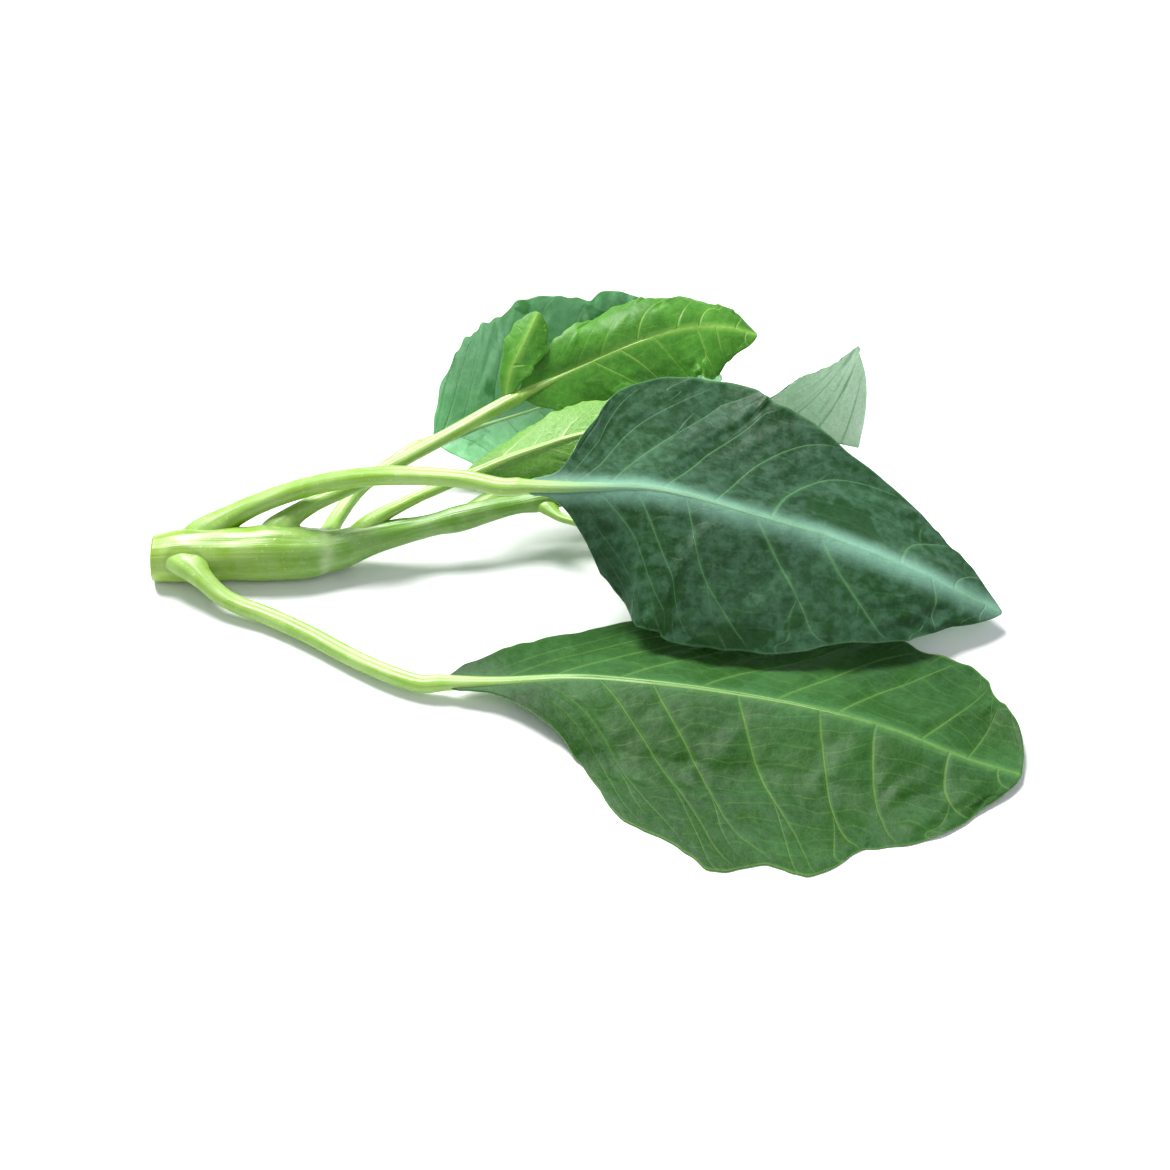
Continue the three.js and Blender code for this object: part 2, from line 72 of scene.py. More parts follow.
# One leaf: its stalk, then the midrib and, on either side of it, the half width, the angle at which
# that half leaves the midrib and how much it bends on its way to the margin (degrees).
# "up" is the side the upper face looks to. Waves are [size, count, phase].
LEAVES = [
    {
        "name": "leaf_1",
        "stalk": [
            [8, -1, 9.5], [14.5, -7.5, 12], [20.5, -14.5, 11], [27.5, -20.5, 8], [36, -25, 6],
            [46, -29.5, 5.2], [62, -39.5, 5], [80, -53, 5], [94, -62, 5.3],
        ],
        "radius": [5, 4.3, 3.8, 3.5, 3.4, 3.4, 3.4, 3.3, 3.3],
        "rib": [
            [112, -67.5, 6], [134, -69.5, 8.5], [160, -68.5, 10], [188, -72, 10.5], [218, -78, 10.5],
            [248, -86, 10], [274, -95, 8], [296, -105, 5], [315, -111, 2.6],
        ],
        "up": [[0, 0, 1], [0, 0, 1]],
        "front": {
            "width": [3.4, 7, 31, 61, 76, 75, 64, 42, 17],
            "lift": [5, -3, -11, -15, -18, -18, -15, -9, -1],
            "curl": [-10, -8, -6, -4, 0, 2, 4, 4, 4],
        },
        "back": {
            "width": [3.4, 16, 32, 44, 53, 56, 53, 49, 42],
            "lift": [20, 0, -12, -15, -16, -14, -10, -5, 0],
            "curl": [-10, 0, 6, 8, 10, 10, 8, 8, 6],
        },
        "tip_power": 9,
        "scallop": [0.06, 6, 0.68],
        "wave": [1.4, 3.3, 0.3],
    },
    {
        "name": "leaf_2",
        "stalk": [
            [15, 3, 11], [24, 8.5, 17.5], [38, 12.5, 24], [56, 14, 31], [75, 10.5, 38.5], [94, 5.5, 44],
            [119, -2.5, 48.5],
        ],
        "radius": [6, 4.8, 4.1, 3.9, 3.8, 3.7, 3.4],
        "rib": [
            [140, -8.5, 49.5], [155, -9.8, 50.5], [170, -9.5, 51], [187, -9, 50], [204, -12, 48],
            [221, -16.5, 45], [250, -21.5, 38], [284, -26, 25], [303, -28, 15], [319, -30, 7],
        ],
        "up": [[0, 0, 1], [0, 0, 1]],
        "front": {
            "width": [3.4, 7, 32, 49, 54, 53, 47, 33, 19, 9],
            "lift": [-10, -30, -40, -34, -30, -28, -26, -20, -16, -10],
            "curl": [0, -20, -26, -24, -22, -22, -20, -15, -10, 0],
        },
        "back": {
            "width": [3.4, 8, 37, 60, 67, 64, 53, 38, 23, 9],
            "lift": [10, 4, -10, -14, -14, -12, -8, -4, 0, 0],
            "curl": [10, 30, 36, 40, 40, 36, 26, 16, 10, 5],
        },
        "tip_power": 9,
        "scallop": [0.02, 7, 0.2],
        "wave": [1.3, 3.1, 0.6],
    },
    {
        "name": "leaf_3",
        "stalk": [
            [44, 2, 12], [51, 9.5, 19], [60, 15.5, 22.5], [71, 21.5, 24.5], [83, 27.5, 27], [97, 36, 30.5],
            [113, 45.5, 34.5],
        ],
        "radius": [5, 3.9, 3.4, 3.2, 3, 2.9, 2.8],
        "rib": [
            [138, 59.5, 41.5], [152, 67, 45], [168, 73.5, 49.5], [186, 80, 54], [204, 85, 56.5],
            [220, 88, 55], [233, 90, 50],
        ],
        "up": [[0.1, -0.45, 0.9], [0.1, -0.4, 0.9], [0, -0.2, 1]],
        "front": {
            "width": [2.8, 16, 23, 25, 24, 20, 10],
            "lift": [-5, -10, -14, -16, -16, -14, -10],
            "curl": [-8, -14, -16, -16, -16, -14, -10],
        },
        "back": {
            "width": [2.8, 11, 17, 20, 19, 16, 9],
            "lift": [52, 46, 40, 34, 26, 14, 5],
            "curl": [-10, -40, -70, -76, -66, -40, -16],
        },
        "tip_power": 6,
        "scallop": [0.06, 5, 0],
        "wave": [1.5, 3.5, 0.5],
    },
    {
        "name": "leaf_4",
        "stalk": [[72, 3, 9], [84, 10.5, 18.5], [98, 15.5, 24.5]],
        "radius": [3.4, 2.6, 2.3],
        "rib": [
            [118, 23.5, 29.5], [131, 28.5, 32.5], [145, 33, 35.5], [162, 38, 38.5], [182, 42, 40],
            [204, 45, 38.5], [222, 46, 34],
        ],
        "up": [[0, 0.35, -0.93], [0, 0.3, -0.95], [0, 0.2, -1]],
        "front": {
            "width": [2, 8, 12, 16, 16, 12, 5],
            "lift": [10, 8, 0, -6, -8, -6, 0],
            "curl": [10, 20, 24, 24, 20, 14, 6],
        },
        "back": {
            "width": [2, 7, 11, 13, 13, 11, 4],
            "lift": [20, 20, 18, 14, 10, 8, 5],
            "curl": [30, 36, 36, 30, 24, 16, 8],
        },
        "tip_power": 5,
        "scallop": [0.04, 5, 0.9],
        "wave": [0.7, 3, 0.2],
    },
    {
        "name": "leaf_5",
        "stalk": [[57, 1, 9], [64, 13, 8], [68, 25, 8.5], [76, 40, 11.5], [90, 54, 15]],
        "radius": [4.6, 3.6, 3.1, 2.9, 2.8],
        "rib": [
            [103, 62, 17.5], [122, 71, 19.5], [140, 77, 22], [168, 84, 27.5], [196, 90, 31], [220, 92, 28],
        ],
        "up": [[0, -0.15, 1], [0, -0.2, 1], [0, -0.1, 1]],
        "front": {
            "width": [2.8, 26, 37, 42, 36, 12],
            "lift": [-10, -24, -32, -37, -33, -12],
            "curl": [0, 10, 14, 16, 14, 5],
        },
        "back": {
            "width": [2.8, 31, 41, 42, 33, 10],
            "lift": [40, 50, 52, 52, 46, 20],
            "curl": [0, 2, 4, 4, 0, 0],
        },
        "tip_power": 5,
        "scallop": [0.02, 6, 0.4],
        "wave": [1.4, 3.5, 0.9],
    },
    {
        "name": "leaf_6",
        "stalk": [[117, 12.5, 17.5], [128, 20, 21], [146, 33.5, 24], [166, 45, 27], [183, 52, 30]],
        "radius": [3, 2.5, 2.3, 2.2, 2.2],
        "rib": [
            [200, 57, 32.5], [211, 62, 35], [223, 66, 33.5], [235, 68, 28], [247, 68, 21], [260, 66.5, 16],
            [274, 64, 13.5],
        ],
        "up": [[0, 0, 1], [0, 0, 1], [0, 0.2, 1]],
        "front": {
            "width": [2.2, 10, 14, 29, 43, 47, 44],
            "lift": [-20, -5, 26, 62, 74, 80, 84],
            "curl": [0, 0, 5, 10, 16, 14, 8],
        },
        "back": {
            "width": [2.2, 12, 21, 26, 27, 22, 10],
            "lift": [0, -4, -12, -18, -22, -20, -10],
            "curl": [0, -10, -16, -24, -26, -20, -10],
        },
        "tip_power": 11,
        "scallop": [0.03, 5, 0.1],
        "wave": [1, 3, 0.4],
    },
    {
        "name": "leaf_7",
        "stalk": [[148, 19, 21], [154, 11, 20.5], [161, 6.5, 21]],
        "radius": [2.2, 1.8, 1.6],
        "rib": [[172, 2, 22], [188, -2, 22.5], [206, -6, 20.5], [224, -9, 16], [238, -11, 11]],
        "up": [[0, 0, 1], [0, 0, 1]],
        "front": {"width": [1.6, 11, 14, 11, 4], "lift": [30, 25, 18, 10, 5], "curl": [10, 20, 20, 10, 5]},
        "back": {"width": [1.6, 11, 14, 11, 4], "lift": [35, 30, 22, 14, 5], "curl": [5, 15, 20, 10, 5]},
        "tip_power": 5,
        "scallop": [0.03, 4, 0.2],
        "wave": [0.5, 3, 0.1],
    },
    {
        "name": "leaf_8",
        "stalk": [[166, 21, 23], [172, 29, 20.5], [180, 33, 18]],
        "radius": [2, 1.6, 1.5],
        "rib": [[190, 35.5, 16], [204, 38, 14.5], [220, 40, 11], [234, 41, 6.5]],
        "up": [[0, 0, 1], [0, 0, 1]],
        "front": {"width": [1.5, 10, 10, 4], "lift": [30, 20, 14, 5], "curl": [10, 20, 14, 5]},
        "back": {"width": [1.5, 9, 9, 4], "lift": [30, 24, 16, 5], "curl": [5, 12, 10, 5]},
        "tip_power": 5,
        "scallop": [0.03, 4, 0.7],
        "wave": [0.4, 3, 0.5],
    },
]

# The ear of leaf 3: a small lobe standing on the leaf stalk just before the blade.
LOBE = {
    "name": "leaf_3_lobe",
    "rib": [[132, 58.9, 43.9], [135.4, 63.8, 50.5], [141, 72, 59.5], [146, 82, 66]],
    "up": [[0, -0.8, 0.5], [0, -0.8, 0.5]],
    "front": {"width": [1.3, 6.5, 10, 8], "lift": [0, 0, -10, -10], "curl": [0, 10, -6, -10]},
    "back": {"width": [1.3, 4.5, 8, 7], "lift": [0, -10, -14, -10], "curl": [0, -10, -20, -10]},
    "tip_power": 6,
    "scallop": [0.06, 4, 0.3],
    "wave": [0.3, 2, 0],
}

# Closed buds: where each little stalk leaves the tip of the stem and the way it points.
BUDS = [
    {"foot": [186.5, 23, 24.7], "toward": [1, 0.05, 0.1]},
    {"foot": [182, 21, 26.5], "toward": [0.8, -0.5, 0.5]},
    {"foot": [182, 25.5, 26], "toward": [0.8, 0.6, 0.4]},
    {"foot": [180.5, 23.5, 22], "toward": [0.8, 0.2, -0.7]},
    {"foot": [176, 20, 25], "toward": [0.7, -0.75, 0.2]},
    {"foot": [175, 23, 27.2], "toward": [0.6, 0, 0.8]},
    {"foot": [174, 25.6, 24.5], "toward": [0.7, 0.7, 0.1]},
]

# How each blade is finished. The vein sweep is how far the veins run on towards the tip; the teeth, their
# gap, the margin's crimping and its length, the pillows between veins and the soft folds are in mm, and
# the mesh is rows by columns.
FINISH_COLUMNS = ("slot", "seed", "vein_count", "vein_sweep", "teeth", "tooth_gap", "crimp", "crimp_length",
                  "pillow", "fold", "mesh")
FINISH = {
    "leaf_1": ("leaf_dark", 1.3, 9, 0.4, 0.7, 9.0, 1.0, 28.0, 0.25, 0.9, (190, 151)),
    "leaf_2": ("leaf_waxy", 2.9, 8, 0.36, 0.5, 8.0, 0.6, 34.0, 0.25, 1.0, (190, 151)),
    "leaf_3": ("leaf_bright", 4.1, 8, 0.28, 0.9, 6.0, 1.3, 14.0, 0.3, 0.8, (160, 97)),
    "leaf_4": ("leaf_pale", 5.7, 8, 0.28, 1.0, 6.0, 0.9, 12.0, 0.4, 0.6, (150, 81)),
    "leaf_5": ("leaf_blue", 6.2, 8, 0.28, 1.2, 7.0, 1.2, 16.0, 0.3, 0.9, (160, 121)),
    "leaf_6": ("leaf_waxy", 7.7, 7, 0.28, 1.0, 7.0, 1.0, 14.0, 0.3, 0.7, (130, 97)),
    "leaf_7": ("leaf_bright", 8.4, 6, 0.25, 0.8, 6.0, 0.7, 9.0, 0.3, 0.4, (110, 65)),
    "leaf_8": ("leaf_bright", 9.1, 5, 0.25, 0.7, 5.0, 0.6, 8.0, 0.3, 0.3, (90, 57)),
    "leaf_3_lobe": ("leaf_bright", 3.3, 4, 0.25, 1.2, 5.0, 0.7, 7.0, 0.25, 0.3, (90, 65)),
}
for leaf in [*LEAVES, LOBE]:
    leaf.update(zip(FINISH_COLUMNS, FINISH[leaf["name"]]))
LOBE["rib"][0] = [133.3, 57.8, 41.4]  # its foot is sunk into the leaf stalk


# ---- curves ----

def along(values, u):
    """Catmull-Rom curve through the values: on each span f from 0 to 1,
    0.5 (2b + (c-a) f + (2a-5b+4c-d) f^2 + (3b-a-3c+d) f^3), with the ends mirrored."""
    values = np.asarray(values, float)
    u = np.clip(np.asarray(u, float), 0, 1)
    line = np.concatenate([[2 * values[0] - values[1]], values, [2 * values[-1] - values[-2]]])
    spans = len(values) - 1
    i = np.minimum((u * spans).astype(int), spans - 1)
    f = u * spans - i
    if values.ndim > 1:
        f = f[..., None]
    a, b, c, d = line[i], line[i + 1], line[i + 2], line[i + 3]
    return 0.5 * (2 * b + (c - a) * f + (2 * a - 5 * b + 4 * c - d) * f**2 + (3 * b - a - 3 * c + d) * f**3)


def unit(v):
    """The vectors v divided by their lengths."""
    return v / np.maximum(np.linalg.norm(v, axis=-1, keepdims=True), 1e-9)


def heading(path, u):
    """Unit tangent: central difference of the path over 0.002 of its length."""
    return unit(along(path, np.minimum(u + 1e-3, 1)) - along(path, np.maximum(u - 1e-3, 0)))


def rested(z, level):
    """Height of a drooping surface that settles softly on a level: z above it, the level below it,
    and (z - level + b)^2 / 4b in between, with b the blend height."""
    low = (z - level + FLOOR_BLEND) ** 2 / (4 * FLOOR_BLEND)
    return np.where(z <= level - FLOOR_BLEND, level, np.where(z >= level + FLOOR_BLEND, z, low))


def smooth(low, high, x):
    """0 below low, 1 above high, 3f^2 - 2f^3 in between."""
    f = np.clip((x - low) / (high - low), 0, 1)
    return f * f * (3 - 2 * f)


def wander(x, seed):
    """Smooth irregular wave between about -1 and 1: a sum of four sines of unrelated lengths."""
    turns = np.array([1.0, 1.73, 2.91, 4.37])
    sizes = np.array([0.45, 0.3, 0.2, 0.14])
    phases = (seed * np.array([1.31, 2.77, 4.19, 5.63])) % 1
    return (sizes * np.sin(2 * np.pi * (turns * x[..., None] + phases))).sum(-1)


# ---- meshes ----

def loft(name, rings, uv, fields, edge=()):
    """A closed surface over rings of points: ring i, point j joins ring i + 1, point j, and a fan closes
    each end. The fields become point attributes; edge lists the columns whose faces are shaded flat."""
    n, m = rings.shape[:2]
    verts = rings.reshape(-1, 3)
    seam = uv.shape[1] > m
    i, j = np.meshgrid(np.arange(n - 1), np.arange(m), indexing="ij")
    k = (j + 1) % m
    k_uv = j + 1 if seam else k
    quads = np.stack([i * m + j, (i + 1) * m + j, (i + 1) * m + k, i * m + k], -1).reshape(-1, 4)
    quad_uv = np.stack([uv[i, j], uv[i + 1, j], uv[i + 1, k_uv], uv[i, k_uv]], -2).reshape(-1, 2)
    verts = np.concatenate([verts, [rings[0].mean(0), rings[-1].mean(0)]])
    j, k, k_uv = j[0], k[0], k_uv[0]
    first = np.stack([np.full(m, n * m), j, k], -1)
    last = np.stack([np.full(m, n * m + 1), (n - 1) * m + k, (n - 1) * m + j], -1)
    first_uv = np.stack([uv[0].mean(0) + 0 * uv[0, j], uv[0, j], uv[0, k_uv]], -2).reshape(-1, 2)
    last_uv = np.stack([uv[-1].mean(0) + 0 * uv[-1, j], uv[-1, k_uv], uv[-1, j]], -2).reshape(-1, 2)
    face_uv = np.concatenate([quad_uv, first_uv, last_uv])
    corners = np.concatenate([quads.ravel(), first.ravel(), last.ravel()])
    starts = np.concatenate([np.arange(len(quads)) * 4, len(quads) * 4 + np.arange(2 * m) * 3])
    mesh = bpy.data.meshes.new(name)
    mesh.vertices.add(len(verts))
    mesh.vertices.foreach_set("co", ((verts + PLACE) * MM).astype(np.float32).ravel())
    mesh.loops.add(len(corners))
    mesh.loops.foreach_set("vertex_index", corners.astype(np.int32))
    mesh.polygons.add(len(starts))
    mesh.polygons.foreach_set("loop_start", starts.astype(np.int32))
    flat = np.zeros(len(starts), bool)
    flat[len(quads):] = True
    for column in edge:
        flat[:len(quads)].reshape(n - 1, m)[:, column] = True
    layer = mesh.uv_layers.new(name="surface")
    layer.uv.foreach_set("vector", (face_uv * MM).astype(np.float32).ravel())
    mesh.update(calc_edges=True)
    mesh.polygons.foreach_set("use_smooth", ~flat)
    for key, value in fields.items():
        value = np.broadcast_to(value, (n, m))
        ends = [value[0].mean(), value[-1].mean()]
        attribute = mesh.attributes.new(key, "FLOAT", "POINT")
        attribute.data.foreach_set("value", np.concatenate([value.ravel(), ends]).astype(np.float32))
    mesh.validate()
    piece = bpy.data.objects.new(name, mesh)
    bpy.context.scene.collection.objects.link(piece)
    return piece


def finish_piece(piece, node, slot, *materials):
    """Gives a piece its materials, hangs it under the root and hides the imported part of the node it stands
    for.
    """
    for material in materials:
        piece.data.materials.append(material)
    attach(piece, "root")
    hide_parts(node)


def around(ahead, up, sides):
    """Unit circles across a path: cos a B + sin a N, with B to the right of the heading and N above it."""
    across = unit(np.cross(ahead, up))
    over = np.cross(across, ahead)
    angle = 2 * np.pi * np.arange(sides) / sides
    return across[:, None] * np.cos(angle)[None, :, None] + over[:, None] * np.sin(angle)[None, :, None]


def frame_place():
    """Where the tables' origin is in the frame, in mm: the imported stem's box less the same stem's own."""
    low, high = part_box("main_stem")
    u = np.linspace(0, 1, PLAIN_STEM[0])
    circles = around(heading(STEM["path"], u), UPRIGHT, PLAIN_STEM[1])
    rings = along(STEM["path"], u)[:, None] + along(STEM["radius"], u)[:, None, None] * circles
    own_low, own_high = rings.reshape(-1, 3).min(0), rings.reshape(-1, 3).max(0)
    return np.array([high[0] / MM - own_high[0], low[1] / MM - own_low[1], low[2] / MM - own_low[2]])


PLACE = frame_place()


# ---- leaf blades ----

def half_width(leaf, half, sign, s):
    """Half width with the tip rounded off: w(s) sqrt(1 - s^p) (1 + a s sin 2 pi (n s + phase))."""
    closing = np.sqrt(np.clip(1 - s ** leaf["tip_power"], 0, 1))
    size, count, phase = leaf["scallop"]
    scallop = 1 + size * s * np.sin(2 * np.pi * (count * s + phase + 0.37 * sign))
    return np.maximum(along(half["width"], s) * closing * scallop, 1.0)


def rib_length(leaf):
    """Length of the midrib in mm: the sum of 59 short steps along it."""
    line = along(leaf["rib"], np.linspace(0, 1, 60))
    return np.linalg.norm(np.diff(line, axis=0), axis=1).sum()


def veins(leaf, s, t, side):
    """Vein number over one half: n s0 + 0.25 wander(3 s0) + offset + 0.22 |t| sin 2 pi (0.8 s + 0.4 |t|),
    where s0 = (s - k)/(1 - k) is the place on the midrib that a vein through (s, t) left, and
    k = sweep |t|^1.2 how far it has swept on."""
    k = leaf["vein_sweep"] * np.abs(t) ** 1.2
    origin = (s - k) / (1 - k)
    bend = 0.22 * np.abs(t) * np.sin(2 * np.pi * (0.8 * s + 0.4 * np.abs(t) + leaf["seed"] + 0.3 * side))
    uneven = 0.25 * wander(3 * origin, leaf["seed"] + side)
    return leaf["vein_count"] * origin + uneven + 0.5 * (side > 0) + bend


def blade(leaf, s, t):
    """Mid surface: M(s) + w(s) |t| [cos m B + sin m N] sinc, the circular arc that leaves the midrib
    at the angle lift and bends by curl on its way out, m = lift + curl |t| / 2; then the wave,
    crimped margin, sunken veins and pillows between them are added along the normal."""
    s = s[:, None] + 0 * t[None]
    t = t[None] + 0 * s
    reach = np.abs(t)
    spine = along(leaf["rib"], s)
    ahead = heading(leaf["rib"], s)
    across = unit(np.cross(ahead, unit(along(leaf["up"], s))))
    over = np.cross(across, ahead)
    length = rib_length(leaf)
    out, rise, width, number = (np.zeros_like(s) for _ in range(4))
    for side, half in ((1, leaf["front"]), (-1, leaf["back"])):
        mine = t >= 0 if side > 0 else t < 0
        w = half_width(leaf, half, side, s)
        teeth = leaf["teeth"] * np.minimum(w / 20, 1)
        run = s * length / leaf["tooth_gap"]
        tooth = np.abs(((run + 0.35 * wander(run / 5, leaf["seed"])) % 1) - 0.5) * 2
        w = w + reach**3 * teeth * (0.5 * (tooth - 0.5) + 1.6 * wander(run / 3.7, leaf["seed"] + side))
        w = w * smooth(-0.02, 0.05, s)
        lift, curl = np.radians(along(half["lift"], s)), np.radians(along(half["curl"], s))
        swing = lift + curl * reach / 2
        arc = reach * np.sinc(curl * reach / (2 * np.pi))
        size, count, phase = leaf["wave"]
        wave = size * t * t * np.minimum(w / 20, 1) * np.sin(2 * np.pi * (count * s + phase + 0.31 * side))
        out = np.where(mine, side * w * arc * np.cos(swing), out)
        rise = np.where(mine, w * arc * np.sin(swing) + wave, rise)
        width = np.where(mine, w, width)
        number = np.where(mine, veins(leaf, s, t, side), number)
    points = spine + out[..., None] * across + rise[..., None] * over
    gap = 1 / np.maximum(np.hypot(np.gradient(number, axis=0) / np.gradient(s * length, axis=0),
                                  np.gradient(number, axis=1) / np.gradient(t * width, axis=1)), 1e-4)
    distance = reach * width
    normal = surface_normal(points)
    nearest = np.abs(number - np.round(number))
    open_part = smooth(0.05, 0.3, s) * smooth(1.0, 0.9, s) * smooth(3, 14, width) * smooth(7, 16, gap)
    pillow = (1 - np.cos(2 * np.pi * nearest)) / 2 * smooth(2, 10, distance)
    groove = np.exp(-(nearest * gap / 2.0) ** 2) * smooth(1.1, 0.6, reach) * smooth(1, 4, distance)
    crimp = reach**4 * wander(s * length / leaf["crimp_length"] + 0.4 * t, leaf["seed"] + 7)
    fold = wander(s * length / 70 + 0.8 * t + 0.12 * number, leaf["seed"] + 11) * smooth(2, 20, distance)
    relief = leaf["pillow"] * (pillow - 0.9 * groove) + leaf["crimp"] * crimp + leaf["fold"] * fold
    points = points + (open_part * relief)[..., None] * normal
    points[..., 2] = rested(points[..., 2], SKIN / 2)
    fields = {"vein": number, "gap": gap, "reach": reach, "out": distance, "run": s * length, "tip": s}
    return points, fields, t * width


def surface_normal(points):
    """Unit normal of a grid: cross product of its differences across and along."""
    return unit(np.cross(np.gradient(points, axis=1), np.gradient(points, axis=0)))


def margin_spread(count):
    """Places from -1 to 1, closer together at the midrib and the margins."""
    x = np.linspace(-1, 1, count)
    return x - 0.055 * np.sin(2 * np.pi * x)


def blade_piece(leaf, node, material):
    """A leaf blade: its mid surface moved half the skin's thickness up and down along the normal."""
    rows, columns = leaf["mesh"]
    s = np.linspace(0, 1, rows)
    t = margin_spread(columns)
    points, fields, sideways = blade(leaf, s, t)
    normal = surface_normal(points)
    thick = SKIN / 2 * (1 - 0.5 * smooth(0.9, 1, fields["reach"]))
    upper = points + thick[..., None] * normal
    lower = points - thick[..., None] * normal
    lower[..., 2] = np.maximum(lower[..., 2], 0)
    rings = np.concatenate([lower, upper[:, ::-1]], 1)
    both = {key: np.concatenate([value, value[:, ::-1]], 1) for key, value in fields.items()}
    both["under"] = np.concatenate([np.ones_like(points[..., 0]), np.zeros_like(points[..., 0])], 1)
    uv = np.stack([both["run"], np.concatenate([sideways, sideways[:, ::-1]], 1)], -1)
    piece = loft(leaf["name"] + "_skin", rings, uv, both, edge=(columns - 1, 2 * columns - 1))
    finish_piece(piece, node, leaf["slot"], material)


# ---- shader building ----

def put(tree, kind, inputs=None, **settings):
    """Adds a shader node, sets its properties, and fills its inputs with values or other sockets."""
    node = tree.nodes.new("ShaderNode" + kind)
    for key, value in settings.items():
        setattr(node, key, value)
    for key, value in (inputs or {}).items():
        if isinstance(value, bpy.types.NodeSocket):
            tree.links.new(value, node.inputs[key])
        else:
            node.inputs[key].default_value = value
    return node


def calc(tree, operation, a, b=0.0, c=0.0):
    """The result of a Math node on a, b and c."""
    return put(tree, "Math", {0: a, 1: b, 2: c}, operation=operation).outputs[0]


def ramp(tree, value, low, high, to_low=0.0, to_high=1.0):
    """A smooth step of the value from one range to another."""
    inputs = {"Value": value, "From Min": low, "From Max": high, "To Min": to_low, "To Max": to_high}
    return put(tree, "MapRange", inputs, interpolation_type="SMOOTHSTEP").outputs["Result"]


def mix(tree, factor, a, b):
    """Colour a (1 - factor) + b factor."""
    return put(tree, "Mix", {0: factor, 6: a, 7: b}, data_type="RGBA").outputs[2]


def noise(tree, place, scale, detail, **settings):
    """Noise between 0 and 1 at a place, with its features about 1 / scale metres across."""
    inputs = {"Vector": place, "Scale": scale, "Detail": detail, **settings}
    return put(tree, "TexNoise", inputs).outputs["Fac"]


def field(tree, name):
    """A point attribute of the piece."""
    return put(tree, "Attribute", attribute_name=name, attribute_type="GEOMETRY").outputs["Fac"]


def group(name, inputs, outputs):
    """A new node group with the named float or vector inputs and float outputs."""
    tree = bpy.data.node_groups.new(name, "ShaderNodeTree")
    for key, default in inputs.items():
        kind = "NodeSocketVector" if default is None else "NodeSocketFloat"
        socket = tree.interface.new_socket(key, in_out="INPUT", socket_type=kind)
        if default is not None:
            socket.default_value = default
    for key in outputs:
        tree.interface.new_socket(key, in_out="OUTPUT", socket_type="NodeSocketFloat")
    return tree, tree.nodes.new("NodeGroupInput").outputs, tree.nodes.new("NodeGroupOutput").inputs


def use(tree, shared, inputs):
    """Places a node group in a tree."""
    return put(tree, "Group", inputs, node_tree=shared).outputs


def vein_group():
    """Side veins, their forks near the margin, the ladder between them and the finest net."""
    tree, a, out = group(
        "leaf_veins",
        {"Place": None, "Vein": 0.0, "Gap": 15.0, "Reach": 0.0, "Out": 0.0, "Tip": 0.0, "Width": 0.9},
        ("Veins", "Ladder", "Net"))
    warp = calc(tree, "SUBTRACT", noise(tree, a["Place"], 55.0, 1.0), 0.5)
    number = calc(tree, "MULTIPLY_ADD", warp, 0.06, a["Vein"])

    def line(value, width):
        """A soft line wherever the value is a whole number."""
        offset = calc(tree, "ABSOLUTE", calc(tree, "SUBTRACT", value, calc(tree, "ROUND", value)))
        distance = calc(tree, "MULTIPLY", offset, a["Gap"])
        core = ramp(tree, distance, calc(tree, "MULTIPLY", width, 0.2), width, 0.7, 0.0)
        glow = ramp(tree, distance, 0.0, calc(tree, "MULTIPLY", width, 3.0), 0.3, 0.0)
        return calc(tree, "ADD", core, glow)

    taper = ramp(tree, a["Reach"], 0.0, 1.0, 1.0, 0.3)
    side = line(number, calc(tree, "MULTIPLY", a["Width"], taper))
    side = calc(tree, "MULTIPLY", side, ramp(tree, a["Reach"], 0.88, 0.99, 1.0, 0.0))
    side = calc(tree, "MULTIPLY", side, ramp(tree, a["Gap"], 3.0, 9.0))
    swerve = calc(tree, "MULTIPLY", ramp(tree, a["Reach"], 0.5, 1.0), 0.5)
    forks = line(calc(tree, "ADD", number, swerve), calc(tree, "MULTIPLY", a["Width"], 0.42))
    roomy = ramp(tree, a["Gap"], 7.0, 15.0)
    forks = calc(tree, "MULTIPLY", forks, ramp(tree, a["Reach"], 0.5, 0.6))
    forks = calc(tree, "MULTIPLY", forks, roomy)
    open_blade = ramp(tree, a["Tip"], 0.97, 1.0, 1.0, 0.0)
    veins = calc(tree, "MAXIMUM", side, calc(tree, "MULTIPLY", forks, 0.6))
    tree.links.new(calc(tree, "MULTIPLY", veins, open_blade), out["Veins"])

    between = calc(tree, "FLOOR", number)
    shuffle = put(tree, "TexWhiteNoise", {"W": between}, noise_dimensions="1D").outputs["Value"]
    slope = calc(tree, "MULTIPLY", calc(tree, "SUBTRACT", number, between), 0.9)
    rung = calc(tree, "MULTIPLY_ADD", a["Out"], 1 / RUNG_GAP, calc(tree, "MULTIPLY", shuffle, 5.0))
    rung = calc(tree, "ADD", rung, calc(tree, "MULTIPLY_ADD", warp, 1.5, slope))
    step = calc(tree, "ABSOLUTE", calc(tree, "SUBTRACT", rung, calc(tree, "ROUND", rung)))
    ladder = calc(tree, "MULTIPLY", ramp(tree, step, 0.0, 0.1, 1.0, 0.0), roomy)
    tree.links.new(calc(tree, "MULTIPLY", ladder, open_blade), out["Ladder"])

    cells = put(tree, "TexVoronoi", {"Vector": a["Place"], "Scale": 420.0}, feature="DISTANCE_TO_EDGE")
    tree.links.new(ramp(tree, cells.outputs["Distance"], 0.02, 0.16, 1.0, 0.0), out["Net"])
    return tree


